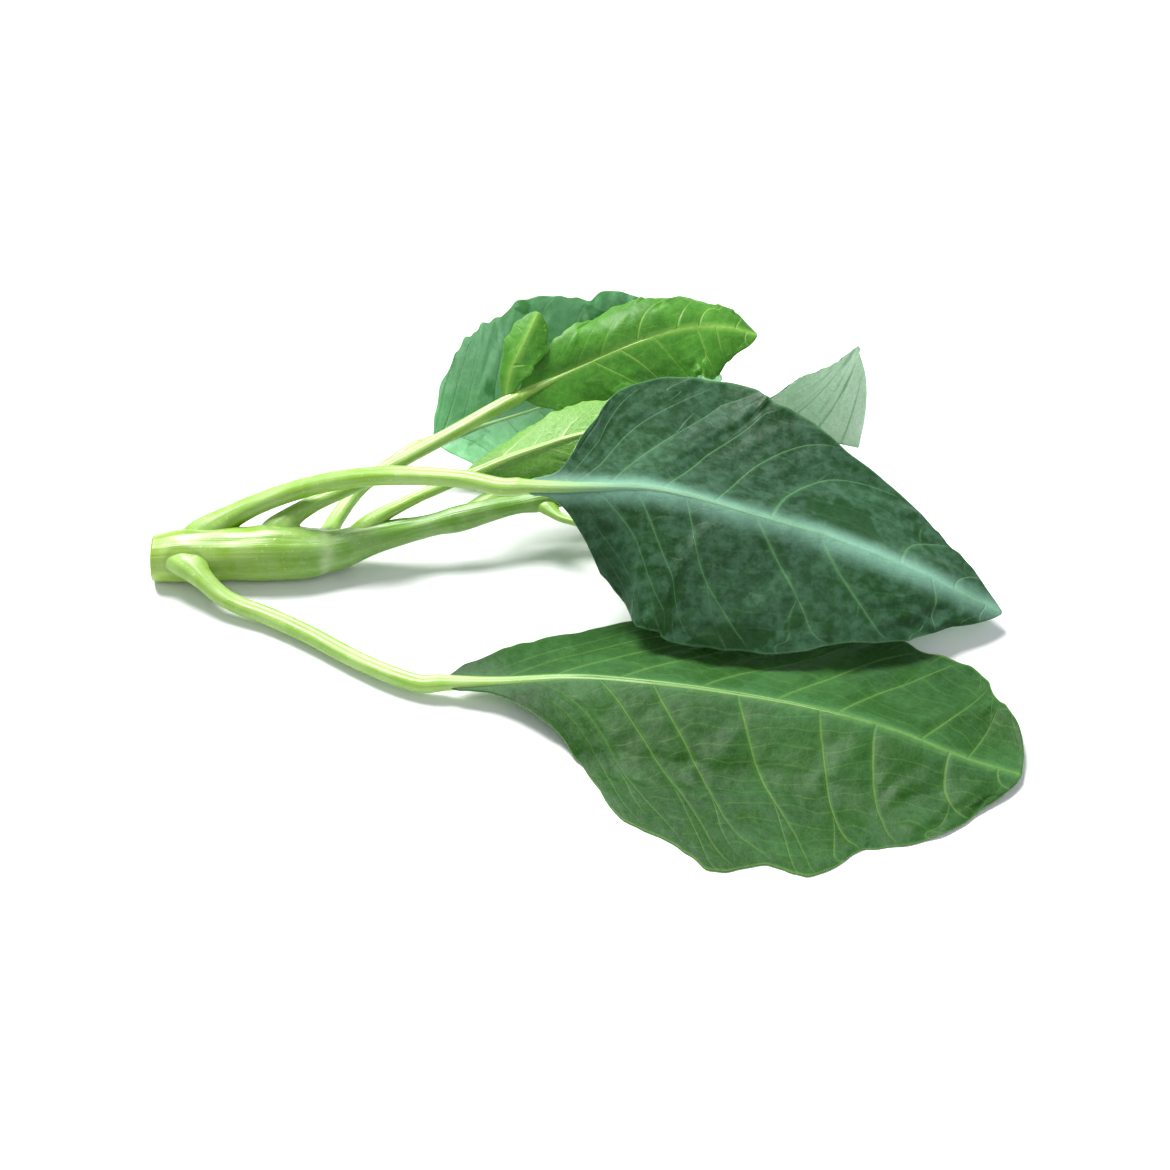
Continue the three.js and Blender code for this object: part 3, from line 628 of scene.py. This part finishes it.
def patch_group():
    """Soft patches of wax on a skin, and the small darker places where it has been rubbed off."""
    tree, a, out = group("wax_patches", {"Place": None, "Size": 26.0, "Rubbed": 0.6}, ("Wax", "Rubbed"))
    broad = noise(tree, a["Place"], a["Size"], 5.0, Roughness=0.6, Distortion=0.4)
    tree.links.new(ramp(tree, broad, 0.36, 0.66), out["Wax"])
    spots = noise(tree, a["Place"], 48.0, 3.0, Roughness=0.6, Distortion=0.5)
    where = noise(tree, a["Place"], 24.0, 1.0)
    spots = calc(tree, "ADD", spots, calc(tree, "MULTIPLY", calc(tree, "SUBTRACT", where, 0.5), 0.9))
    tree.links.new(ramp(tree, spots, a["Rubbed"], calc(tree, "ADD", a["Rubbed"], 0.07)), out["Rubbed"])
    return tree


def streak_group():
    """Long fine streaks along a stem: noise stretched along the length and tight round it."""
    tree, a, out = group("stem_streaks", {"Place": None, "Round": 900.0, "Long": 22.0}, ("Streaks", "Flecks"))
    scale = put(tree, "CombineXYZ", {0: a["Long"], 1: a["Round"], 2: 1.0}).outputs[0]
    place = put(tree, "VectorMath", {0: a["Place"], 1: scale}, operation="MULTIPLY").outputs[0]
    tree.links.new(noise(tree, place, 1.0, 3.0), out["Streaks"])
    flecks = noise(tree, a["Place"], 700.0, 2.0)
    tree.links.new(ramp(tree, flecks, 0.62, 0.72), out["Flecks"])
    return tree


VEINS, PATCHES, STREAKS = vein_group(), patch_group(), streak_group()


def colour(red, green, blue):
    """Linear colour of an sRGB colour given from 0 to 255."""
    rgb = np.array([red, green, blue]) / 255
    linear = np.where(rgb <= 0.04045, rgb / 12.92, ((rgb + 0.055) / 1.055) ** 2.4)
    return (*(float(v) for v in linear), 1.0)


def new_material(name):
    """A new material with its node tree and its one shader."""
    material = bpy.data.materials.new(name)
    material.use_nodes = True
    return material, material.node_tree, material.node_tree.nodes["Principled BSDF"]


def set_flesh(shader, weight, radius, scale):
    """How far light spreads below the skin, in metres times the radius of each colour."""
    shader.inputs["Subsurface Weight"].default_value = weight
    shader.inputs["Subsurface Radius"].default_value = radius
    shader.inputs["Subsurface Scale"].default_value = scale


def set_relief(tree, shader, height, strength, distance):
    """A bump of the height on the shader's normal."""
    bump = put(tree, "Bump", {"Height": height, "Strength": strength, "Distance": distance})
    tree.links.new(bump.outputs["Normal"], shader.inputs["Normal"])


def leaf_material(name, look):
    """Leaf skin: dark and light patches, paler veins, patches of wax that rub off in spots, a painted
    highlight of wax colour along the midrib, a painted sheen where the skin is seen edge-on, and a paler
    underside whose veins stand out."""
    material, tree, shader = new_material(name)
    place = put(tree, "TexCoord").outputs["Object"]
    flat = put(tree, "UVMap", uv_map="surface").outputs["UV"]
    under = ramp(tree, field(tree, "under"), 0.4, 0.6)
    reach, distance, tip = field(tree, "reach"), field(tree, "out"), field(tree, "tip")
    veins = use(tree, VEINS, {"Place": flat, "Vein": field(tree, "vein"), "Gap": field(tree, "gap"),
                              "Reach": reach, "Out": distance, "Tip": tip, "Width": look["vein_width"]})
    patches = use(tree, PATCHES, {"Place": place, "Size": look["patch"], "Rubbed": look["rubbed"]})
    broad = noise(tree, place, 16.0, 3.0)
    grain = noise(tree, place, 900.0, 3.0)
    mottle = noise(tree, place, 210.0, 5.0, Roughness=0.66)
    swell = noise(tree, place, 170.0, 1.0)

    top = mix(tree, ramp(tree, broad, 0.35, 0.65), look["dark"], look["light"])
    top = mix(tree, ramp(tree, mottle, 0.36, 0.66, 0.0, 0.4), top, look["dark"])
    top = mix(tree, ramp(tree, mottle, 0.62, 0.34, 0.0, 0.1), top, look["wax"])
    top = mix(tree, calc(tree, "MULTIPLY", patches["Wax"], look["wax_amount"]), top, look["wax"])
    top = mix(tree, calc(tree, "MULTIPLY", patches["Rubbed"], 0.75), top, look["spot"])
    top = mix(tree, calc(tree, "MULTIPLY", veins["Net"], look["net"]), top, look["vein"])
    top = mix(tree, calc(tree, "MULTIPLY", veins["Ladder"], look["ladder"]), top, look["vein"])
    rib = ramp(tree, distance, 0.3, 1.1, 0.75, 0.0)
    halo = calc(tree, "MAXIMUM", rib, ramp(tree, distance, 0.4, look["halo"], 0.4, 0.0))
    line = calc(tree, "MAXIMUM", calc(tree, "MULTIPLY", veins["Veins"], look["vein_amount"]), halo)
    top = mix(tree, line, top, look["vein"])
    # Painted highlight: the wax colour laid along the midrib stands for the sheen on the leaf's ridge as well
    # as its real pale wax.
    sheen_width, sheen_amount = look["bloom_and_sheen"]
    bloom_and_sheen = calc(tree, "MULTIPLY", ramp(tree, distance, 0.0, sheen_width, 1.0, 0.0), sheen_amount)
    top = mix(tree, calc(tree, "MULTIPLY", bloom_and_sheen, ramp(tree, broad, 0.3, 0.6, 0.4, 1.0)), top, look["wax"])
    # Painted sheen: the skin turns toward the wax colour where it is seen edge-on, standing for light
    # reflected at a glancing angle.
    facing = put(tree, "LayerWeight", {"Blend": 0.25}).outputs["Facing"]
    top = mix(tree, calc(tree, "MULTIPLY", facing, look["grazing_sheen"]), top, look["wax"])

    low = mix(tree, ramp(tree, broad, 0.35, 0.65), look["under_dark"], look["under_light"])
    low = mix(tree, calc(tree, "MULTIPLY", veins["Net"], 0.1), low, look["under_vein"])
    low = mix(tree, calc(tree, "MULTIPLY", veins["Ladder"], 0.25), low, look["under_vein"])
    raised = calc(tree, "MAXIMUM", veins["Veins"], halo)
    low = mix(tree, calc(tree, "MULTIPLY", raised, 0.85), low, look["under_vein"])
    skin = mix(tree, under, top, low)
    rim = ramp(tree, reach, 0.975, 0.997)
    skin = mix(tree, calc(tree, "MULTIPLY", rim, 0.4), skin, look["vein"])
    skin = mix(tree, ramp(tree, grain, 0.3, 0.7, 0.0, 0.12), skin, look["spot"])
    tree.links.new(skin, shader.inputs["Base Color"])

    rough = mix(tree, patches["Rubbed"], (look["rough"],) * 3 + (1,), (look["rough"] - 0.03,) * 3 + (1,))
    rough = mix(tree, calc(tree, "MULTIPLY", grain, 0.2), rough, (0.85, 0.85, 0.85, 1))
    tree.links.new(rough, shader.inputs["Roughness"])

    sunk = calc(tree, "MULTIPLY", veins["Veins"], ramp(tree, under, 0, 1, -0.7, 1.2))
    cells = calc(tree, "MULTIPLY", veins["Net"], ramp(tree, under, 0, 1, -0.05, 0.2))
    rungs = calc(tree, "MULTIPLY", veins["Ladder"], ramp(tree, under, 0, 1, -0.1, 0.45))
    height = calc(tree, "ADD", calc(tree, "ADD", sunk, cells), calc(tree, "MULTIPLY_ADD", grain, 0.12, rungs))
    set_relief(tree, shader, calc(tree, "MULTIPLY_ADD", swell, 1.5, height), 0.8, 0.0004)
    set_flesh(shader, 0.08, (0.6, 1.0, 0.25), 0.002)
    shader.inputs["Specular IOR Level"].default_value = look["gloss"]
    return material


def stem_material(name, look, rib=None):
    """Stem skin: green that pales towards one end, long fibres, flecks, patches of pale wax, and painted
    shade in the creases where a leaf stalk meets the stem and between a bud's sepals. A leaf stalk takes its
    leaf's rib colour where it runs on as the midrib."""
    material, tree, shader = new_material(name)
    place = put(tree, "TexCoord").outputs["Object"]
    flat = put(tree, "UVMap", uv_map="surface").outputs["UV"]
    tip = field(tree, "tip")
    streaks = use(tree, STREAKS, {"Place": flat})
    patches = use(tree, PATCHES, {"Place": place, "Size": 60.0, "Rubbed": 0.66})
    skin = mix(tree, ramp(tree, tip, look["turn"][0], look["turn"][1]), look["foot"], look["far"])
    skin = mix(tree, ramp(tree, streaks["Streaks"], 0.4, 0.62, 0.0, 0.42), skin, look["fibre"])
    skin = mix(tree, calc(tree, "MULTIPLY", patches["Wax"], look["wax_amount"]), skin, look["wax"])
    skin = mix(tree, calc(tree, "MULTIPLY", field(tree, "pale"), 0.3), skin, look["wax"])
    skin = mix(tree, calc(tree, "MULTIPLY", patches["Rubbed"], 0.3), skin, look["fibre"])
    skin = mix(tree, calc(tree, "MULTIPLY", streaks["Flecks"], 0.18), skin, look["wax"])
    # Painted shade: darker colour in the creases where a leaf stalk meets the stem and between a bud's
    # sepals.
    skin = mix(tree, calc(tree, "MULTIPLY", field(tree, "crease_shade"), 0.35), skin, look["crease_shade"])
    if rib is not None:
        skin = mix(tree, ramp(tree, field(tree, "rib"), 0.0, 0.3), skin, rib)
    tree.links.new(skin, shader.inputs["Base Color"])
    rough = ramp(tree, patches["Wax"], 0.0, 1.0, 0.34, 0.46)
    tree.links.new(rough, shader.inputs["Roughness"])
    height = calc(tree, "MULTIPLY_ADD", streaks["Flecks"], 0.15, streaks["Streaks"])
    set_relief(tree, shader, height, 0.55, 0.0005)
    shader.inputs["Specular IOR Level"].default_value = 0.6
    set_flesh(shader, 0.15, (0.9, 1.0, 0.3), 0.003)
    return material


def cut_material(name):
    """The cut end: moist pale pith, a greener ring of fibres near the skin and a fine grain."""
    material, tree, shader = new_material(name)
    place = put(tree, "TexCoord").outputs["Object"]
    ring = field(tree, "ring")
    grain = noise(tree, place, 500.0, 4.0)
    wobbly = calc(tree, "MULTIPLY_ADD", calc(tree, "SUBTRACT", grain, 0.5), 0.12, ring)
    skin = mix(tree, ramp(tree, wobbly, 0.55, 0.75), colour(214, 228, 160), colour(196, 216, 132))
    fibres = calc(tree, "MULTIPLY", ramp(tree, wobbly, 0.7, 0.78), ramp(tree, wobbly, 0.8, 0.88, 1.0, 0.0))
    skin = mix(tree, calc(tree, "MULTIPLY", fibres, 0.6), skin, colour(150, 178, 78))
    skin = mix(tree, ramp(tree, wobbly, 0.93, 1.0), skin, colour(158, 190, 84))
    skin = mix(tree, ramp(tree, grain, 0.35, 0.7, 0.0, 0.3), skin, colour(176, 196, 120))
    tree.links.new(skin, shader.inputs["Base Color"])
    tree.links.new(ramp(tree, grain, 0.3, 0.7, 0.3, 0.5), shader.inputs["Roughness"])
    set_relief(tree, shader, grain, 0.5, 0.0005)
    set_flesh(shader, 0.2, (1.0, 0.2, 0.1), 0.003)
    return material


# ---- materials ----

# Colours are for the upper face and, with "under", for the lower one; the midrib band's width in mm and
# amount give pale wax along the midrib, partly the leaf's real wax and partly a painted highlight along the
# ridge; the glancing amount is a painted sheen where the skin is seen edge-on, and "rib" is the colour of the
# midrib itself.

LEAF_LOOKS = {
    "leaf_dark": {
        "dark": colour(14, 50, 4), "light": colour(34, 76, 16), "wax": colour(76, 126, 80), "gloss": 0.13,
        "bloom_and_sheen": (8.0, 0.3), "spot": colour(26, 68, 10), "vein": colour(104, 146, 68),
        "under_dark": colour(98, 140, 92), "under_light": colour(118, 158, 108),
        "under_vein": colour(158, 188, 132), "wax_amount": 0.16, "rubbed": 0.62, "patch": 22.0,
        "grazing_sheen": 0.25, "rough": 0.46, "net": 0.05, "halo": 3.2, "vein_amount": 0.42, "vein_width": 0.8,
        "ladder": 0.12, "rib": colour(118, 158, 84),
    },
    "leaf_waxy": {
        "dark": colour(6, 44, 6), "light": colour(18, 60, 14), "wax": colour(138, 186, 166),
        "gloss": 0.16, "bloom_and_sheen": (10.0, 0.66), "spot": colour(14, 54, 6), "vein": colour(92, 138, 92),
        "under_dark": colour(184, 218, 188), "under_light": colour(210, 232, 212),
        "under_vein": colour(160, 200, 160), "wax_amount": 0.04, "rubbed": 0.63, "patch": 18.0,
        "grazing_sheen": 0.12, "rough": 0.4, "net": 0.03, "halo": 4.0, "vein_amount": 0.5, "vein_width": 0.7,
        "ladder": 0.08, "rib": colour(118, 162, 128),
    },
    "leaf_bright": {
        "dark": colour(26, 80, 6), "light": colour(60, 126, 22), "wax": colour(104, 164, 66),
        "gloss": 0.25, "bloom_and_sheen": (5.0, 0.25), "spot": colour(34, 88, 16), "vein": colour(146, 190, 84),
        "under_dark": colour(110, 156, 84), "under_light": colour(134, 178, 100),
        "under_vein": colour(180, 206, 140), "wax_amount": 0.2, "rubbed": 0.68, "patch": 26.0,
        "grazing_sheen": 0.3, "rough": 0.44, "net": 0.05, "halo": 2.5, "vein_amount": 0.45, "vein_width": 0.6,
        "ladder": 0.12, "rib": colour(150, 196, 84),
    },
    "leaf_blue": {
        "dark": colour(76, 150, 84), "light": colour(118, 190, 126), "wax": colour(180, 222, 200),
        "gloss": 0.3, "bloom_and_sheen": (8.0, 0.3), "spot": colour(60, 130, 60), "vein": colour(124, 176, 118),
        "under_dark": colour(100, 152, 92), "under_light": colour(130, 178, 118),
        "under_vein": colour(176, 208, 158), "wax_amount": 0.32, "rubbed": 0.66, "patch": 18.0,
        "grazing_sheen": 0.6, "rough": 0.42, "net": 0.04, "halo": 3.0, "vein_amount": 0.55, "vein_width": 0.7,
        "ladder": 0.12, "rib": colour(150, 194, 126),
    },
    "leaf_pale": {
        "dark": colour(52, 98, 40), "light": colour(78, 128, 56), "wax": colour(120, 158, 112),
        "gloss": 0.3, "bloom_and_sheen": (4.0, 0.2), "spot": colour(40, 84, 26), "vein": colour(150, 184, 108),
        "under_dark": colour(64, 122, 26), "under_light": colour(98, 150, 54),
        "under_vein": colour(190, 212, 152), "wax_amount": 0.2, "rubbed": 0.66, "patch": 26.0,
        "grazing_sheen": 0.35, "rough": 0.48, "net": 0.06, "halo": 2.5, "vein_amount": 0.6, "vein_width": 0.7,
        "ladder": 0.16, "rib": colour(150, 186, 96),
    },
}
# "turn" is the stretch, as parts of the length, over which the foot's colour turns to the far one.
# The crease colour is painted shade, laid in the joints between stalk and stem and in the bud's sepal seams.
STEM_LOOKS = {
    "stem": {
        "foot": colour(136, 170, 50), "far": colour(88, 140, 18), "fibre": colour(98, 144, 26),
        "wax": colour(214, 230, 190), "crease_shade": colour(86, 122, 28), "wax_amount": 0.16, "turn": (0.0, 0.55),
    },
    "leaf_stalk": {
        "foot": colour(124, 166, 44), "far": colour(136, 178, 66), "fibre": colour(102, 150, 30),
        "wax": colour(216, 232, 188), "crease_shade": colour(92, 128, 28), "wax_amount": 0.16, "turn": (0.2, 0.95),
    },
    "bud": {
        "foot": colour(126, 168, 66), "far": colour(104, 148, 62), "fibre": colour(92, 136, 48),
        "wax": colour(176, 202, 140), "crease_shade": colour(70, 104, 36), "wax_amount": 0.35, "turn": (0.3, 0.9),
    },
}
MATERIALS = {name: leaf_material(name, look) for name, look in LEAF_LOOKS.items()}
MATERIALS.update({name: stem_material(name, STEM_LOOKS[name]) for name in ("stem", "bud")})
RIBS = {name: stem_material("rib_of_" + name, STEM_LOOKS["leaf_stalk"], look["rib"])
        for name, look in LEAF_LOOKS.items()}
CUT = cut_material("stem_cut")


# ---- pieces ----

STEM_LINE = along(STEM["path"], np.linspace(0, 1, 240))
STEM_RADIUS = along(STEM["radius"], np.linspace(0, 1, 240))


def stalk_line(leaf, count):
    """Centre line and radius of a leaf stalk up to the blade: the given points, then a straight collar."""
    foot = along(leaf["rib"], 0.0)
    ahead = heading(leaf["rib"], 0.0)
    path = [*leaf["stalk"], foot - COLLAR * ahead, foot]
    radius = [*leaf["radius"], leaf["radius"][-1], leaf["radius"][-1]]
    u = np.linspace(0, 1, count)
    return along(path, u), along(radius, u)


def nearest_on(line, radius, points):
    """Distance from each point to the skin of a round line: min over its points of |p - c| - r."""
    gap = np.linalg.norm(points[..., None, :] - line, axis=-1) - radius
    return gap.min(-1)


def rings_round(centre, radius, up, outline):
    """Rings c + r k (cos a B + sin a N), with k the outline by ring and angle a."""
    circles = around(unit(np.gradient(centre, axis=0)), up, outline.shape[1])
    return centre[:, None] + (radius[:, None] * outline)[..., None] * circles


def tube_uv(rings):
    """Length along and length round each ring, in mm, with a last column for the seam."""
    run = np.concatenate([[0], np.cumsum(np.linalg.norm(np.diff(rings.mean(1), axis=0), axis=1))])
    closed = np.concatenate([rings, rings[:, :1]], 1)
    step = np.linalg.norm(np.diff(closed, axis=1), axis=-1)
    girth = np.concatenate([np.zeros((len(rings), 1)), np.cumsum(step.mean(0)[None] + 0 * step, 1)], 1)
    return np.stack([np.broadcast_to(run[:, None], girth.shape), girth], -1)


def stem_piece():
    """The stem: radius r(x) (1 + 0.012 cos 7a + 0.008 cos 12a + 0.075 exp -((x - node) / 3.2)^2) round its
    path, swollen by 1.3 mm where a leaf stalk leaves it, with a cut face and a rounded stub at its ends."""
    rows, sides = STEM_MESH
    u = np.linspace(0, 1, rows)
    centre, radius = along(STEM["path"], u), along(STEM["radius"], u)
    angle = 2 * np.pi * np.arange(sides)[None] / sides
    run = centre[:, :1]
    outline = 1 + 0.012 * np.cos(7 * angle + 0.8 * np.sin(run / 30)) + 0.008 * np.cos(12 * angle + run / 45)
    outline = outline + 0.015 * wander(run / 38 + angle / 7, 5.0)
    from_node = run - NODE_AT - 1.5 * np.sin(angle)
    outline = outline + 0.075 * np.exp(-(from_node / 3.2) ** 2)
    rings = rings_round(centre, radius, UPRIGHT, outline)
    # Painted shade: a band where each leaf stalk's foot meets the stem, darkened in the skin colour.
    crease_shade = np.zeros((rows, sides))
    outward = unit(rings - centre[:, None])
    for leaf in LEAVES:
        line, thick = stalk_line(leaf, 60)
        off = nearest_on(line[:FOOT_POINTS], thick[:FOOT_POINTS], rings)
        rings = rings + (1.3 * np.exp(-(np.maximum(off, 0) / 5.0) ** 2))[..., None] * outward
        crease_shade = np.maximum(crease_shade, smooth(1.2, 0.2, np.abs(off - 1.2)))
    rings[:, :, 2] = np.maximum(rings[:, :, 2], 0.02)
    rings[:, :, 0] += CUT_SLANT * np.sin(angle[0]) * radius[0] * smooth(6, 0, run)
    shrink = np.array([0.04, 0.3, 0.55, 0.75, 0.88, 0.965])
    hub = rings[0].mean(0)
    face = hub + (rings[0] - hub) * shrink[:, None, None]
    face[:, :, 0] += 0.35 * (1 - shrink[:, None] ** 2) + 0.12 * wander(angle * 0.6 + shrink[:, None] * 3, 2.0)
    stub = np.array([0.93, 0.75, 0.45, 0.12])
    end, ahead = rings[-1].mean(0), unit(centre[-1] - centre[-2])
    tip = end + (rings[-1] - end) * stub[:, None, None]
    tip = tip + ahead * (1.2 * np.sqrt(1 - stub**2))[:, None, None]
    rings = np.concatenate([face, rings, tip])
    pad = (len(shrink), len(stub))
    node_ring = np.exp(-((from_node - 2) / 2.2) ** 2)
    fields = {
        "pale": np.pad(node_ring, (pad, (0, 0))),
        "tip": np.pad(u, pad, mode="edge")[:, None],
        "ring": np.concatenate([shrink, np.ones(rows + len(stub))])[:, None],
        "crease_shade": np.pad(crease_shade, (pad, (0, 0))),
    }
    piece = loft("stem", rings, tube_uv(rings), fields)
    finish_piece(piece, "main_stem", "stem", MATERIALS["stem"], CUT)
    cut = np.zeros(len(piece.data.polygons), np.int32)
    cut[:len(shrink) * sides] = 1
    foot_fan = (len(rings) - 1) * sides
    cut[foot_fan:foot_fan + sides] = 1
    piece.data.polygons.foreach_set("material_index", cut)


def petiole_piece(leaf):
    """A leaf stalk that runs on as the midrib: radius r (1 + 0.05 cos 2a - groove) round its path, flared
    by 0.7 exp -(gap / 4)^2 at the stem; in the blade r (1 - 0.9 s^0.5), sunk by three quarters of that."""
    stalk_rows, rib_rows, sides = STALK_MESH
    line, thick = stalk_line(leaf, stalk_rows)
    s = np.linspace(0, RIB_END, rib_rows)[1:]
    rib = along(leaf["rib"], s)
    up = unit(along(leaf["up"], s))
    ahead = heading(leaf["rib"], s)
    over = unit(np.cross(unit(np.cross(ahead, up)), ahead))
    fine = thick[-1] * (1 - 0.9 * s**0.5)
    sink = (0.75 * fine - 0.12) * smooth(0, 0.3, s)
    centre = np.concatenate([line, rib - sink[:, None] * over])
    clear = nearest_on(STEM_LINE, STEM_RADIUS, line)
    thick = thick + 0.7 * np.exp(-(np.maximum(clear, 0) / 4.0) ** 2)
    radius = np.concatenate([thick, fine])
    up = np.concatenate([np.tile(UPRIGHT, (len(line), 1)), up * np.sign(up[0, 2])])
    u = np.concatenate([np.linspace(0, 0.5, len(line)), 0.5 + 0.5 * s])[:, None]
    angle = 2 * np.pi * np.arange(sides)[None] / sides
    swing = np.arctan2(np.sin(angle - np.pi / 2), np.cos(angle - np.pi / 2))
    groove = 0.15 * np.exp(-(swing / 0.4) ** 2) * smooth(0.05, 0.2, u)
    outline = 1 + 0.05 * np.cos(2 * angle) - groove + 0.012 * np.cos(9 * angle + 3 * u)
    outline = outline + 0.02 * wander(u * 9 + angle / 7, leaf["seed"])
    rings = rings_round(centre, radius, up, outline)
    base = np.concatenate([np.exp(-(np.maximum(clear, 0) / 5.0) ** 2), 0 * s])[:, None]
    rings[..., 0] += 0.55 * base * (rings[..., 0] - centre[:, None, 0])
    stem_off = nearest_on(STEM_LINE, STEM_RADIUS, rings)
    # Painted shade: a band where the stalk meets the stem, darkened in the skin colour.
    crease_shade = smooth(0.9, 0.2, np.abs(stem_off - 0.5)) * (u < 0.3)
    rings[..., 2] = np.maximum(rings[..., 2], 0.05)
    fields = {"tip": 2 * np.minimum(u, 0.5), "crease_shade": crease_shade, "rib": 2 * np.maximum(u - 0.5, 0)}
    piece = loft(leaf["name"] + "_stalk", rings, tube_uv(rings), fields)
    finish_piece(piece, leaf["name"] + "_petiole", "leaf_stalk", RIBS[leaf["slot"]])


def bud_piece(name, foot, toward):
    """A closed bud on its stalk: radius r(x) of a thin stalk, a small cup and an egg, with four sepals
    r (1 + 0.06 cos 4a)."""
    profile = [[0, 0.75], [1.5, 0.62], [3.4, 0.6], [4.2, 0.8], [4.7, 1.4], [5.5, 1.95], [6.8, 2.12],
               [8.2, 1.8], [9.3, 1.15], [9.9, 0.55], [10.1, 0.1]]
    rows, sides = BUD_MESH
    reach, radius = along(profile, np.linspace(0, 1, rows)).T
    ahead = unit(np.array(toward, float))
    centre = np.array(foot, float) + reach[:, None] * ahead
    centre = centre + (0.5 * np.sin(np.pi * np.clip(reach / 4.5, 0, 1)))[:, None] * UPRIGHT
    angle = 2 * np.pi * np.arange(sides)[None] / sides
    sepals = smooth(4.4, 6, reach)[:, None] * (0.06 * np.cos(4 * angle) + 0.02 * np.cos(8 * angle))
    rings = rings_round(centre, np.maximum(radius, 0.05), np.array([0.05, 0.1, 1.0]), 1 + sepals)
    # Painted shade: the grooves between the sepals, darkened in the skin colour.
    seam = smooth(0.6, 0.95, np.cos(4 * angle + np.pi)) * smooth(5, 6, reach)[:, None]
    fields = {"tip": (reach / 10)[:, None], "crease_shade": 0.6 * seam}
    piece = loft(name + "_skin", rings, tube_uv(rings), fields)
    finish_piece(piece, name, "bud", MATERIALS["bud"])


for leaf in LEAVES:
    petiole_piece(leaf)
for leaf in [*LEAVES, LOBE]:
    node = leaf["name"] if leaf is LOBE else leaf["name"] + "_blade"
    blade_piece(leaf, node, MATERIALS[leaf["slot"]])
stem_piece()
for number, bud in enumerate(BUDS, 1):
    bud_piece(f"bud_{number}", bud["foot"], bud["toward"])


# ---- table top, light and camera ----

def floor_material():
    """Plain pale table top with a very faint mottle."""
    material, tree, shader = new_material("table_top")
    place = put(tree, "TexCoord").outputs["Object"]
    skin = mix(tree, noise(tree, place, 6.0, 2.0), (0.86, 0.87, 0.88, 1), (0.9, 0.905, 0.91, 1))
    tree.links.new(skin, shader.inputs["Base Color"])
    shader.inputs["Roughness"].default_value = 0.8
    return material


LIT_POINT = (0, 0, 0.02)
CAMERA_AT = (164.4, -670.2, 557.6)  # mm, from the tables' origin
CAMERA_TILT = 50


def area_light(name, place, size, power, tint):
    """A round soft lamp that looks at the middle of the stalk."""
    light = bpy.data.lights.new(name, "AREA")
    light.shape = "DISK"
    light.size = size
    light.energy = power
    light.color = tint
    lamp = bpy.data.objects.new(name, light)
    lamp.location = place
    lamp.rotation_mode = "QUATERNION"
    lamp.rotation_quaternion = (Vector(LIT_POINT) - Vector(place)).to_track_quat("-Z", "Y")
    bpy.context.scene.collection.objects.link(lamp)


floor_mesh = bpy.data.meshes.new("table_top")
floor_mesh.from_pydata([(-4, -4, 0), (4, -4, 0), (4, 4, 0), (-4, 4, 0)], [], [(0, 1, 2, 3)])
floor = bpy.data.objects.new("table_top", floor_mesh)
floor_mesh.materials.append(floor_material())
bpy.context.scene.collection.objects.link(floor)

area_light("back_window", (-0.55, 0.85, 1.65), 1.0, 78.0, (1.0, 1.0, 0.98))
area_light("front_fill", (0.5, -1.5, 1.6), 1.8, 9.0, (0.97, 0.99, 1.0))

world = bpy.data.worlds.new("studio")
world.use_nodes = True
world.node_tree.nodes["Background"].inputs["Color"].default_value = (0.92, 0.95, 1.0, 1)
world.node_tree.nodes["Background"].inputs["Strength"].default_value = 0.42
bpy.context.scene.world = world
bpy.context.scene.view_settings.view_transform = "Standard"

camera = bpy.data.cameras.new("camera")
camera.lens = 70
camera.sensor_width = 36
camera_piece = bpy.data.objects.new("camera", camera)
camera_piece.location = tuple((np.array(CAMERA_AT) + PLACE) * MM)
camera_piece.rotation_euler = (np.radians(CAMERA_TILT), 0, 0)
bpy.context.scene.collection.objects.link(camera_piece)
bpy.context.scene.camera = camera_piece
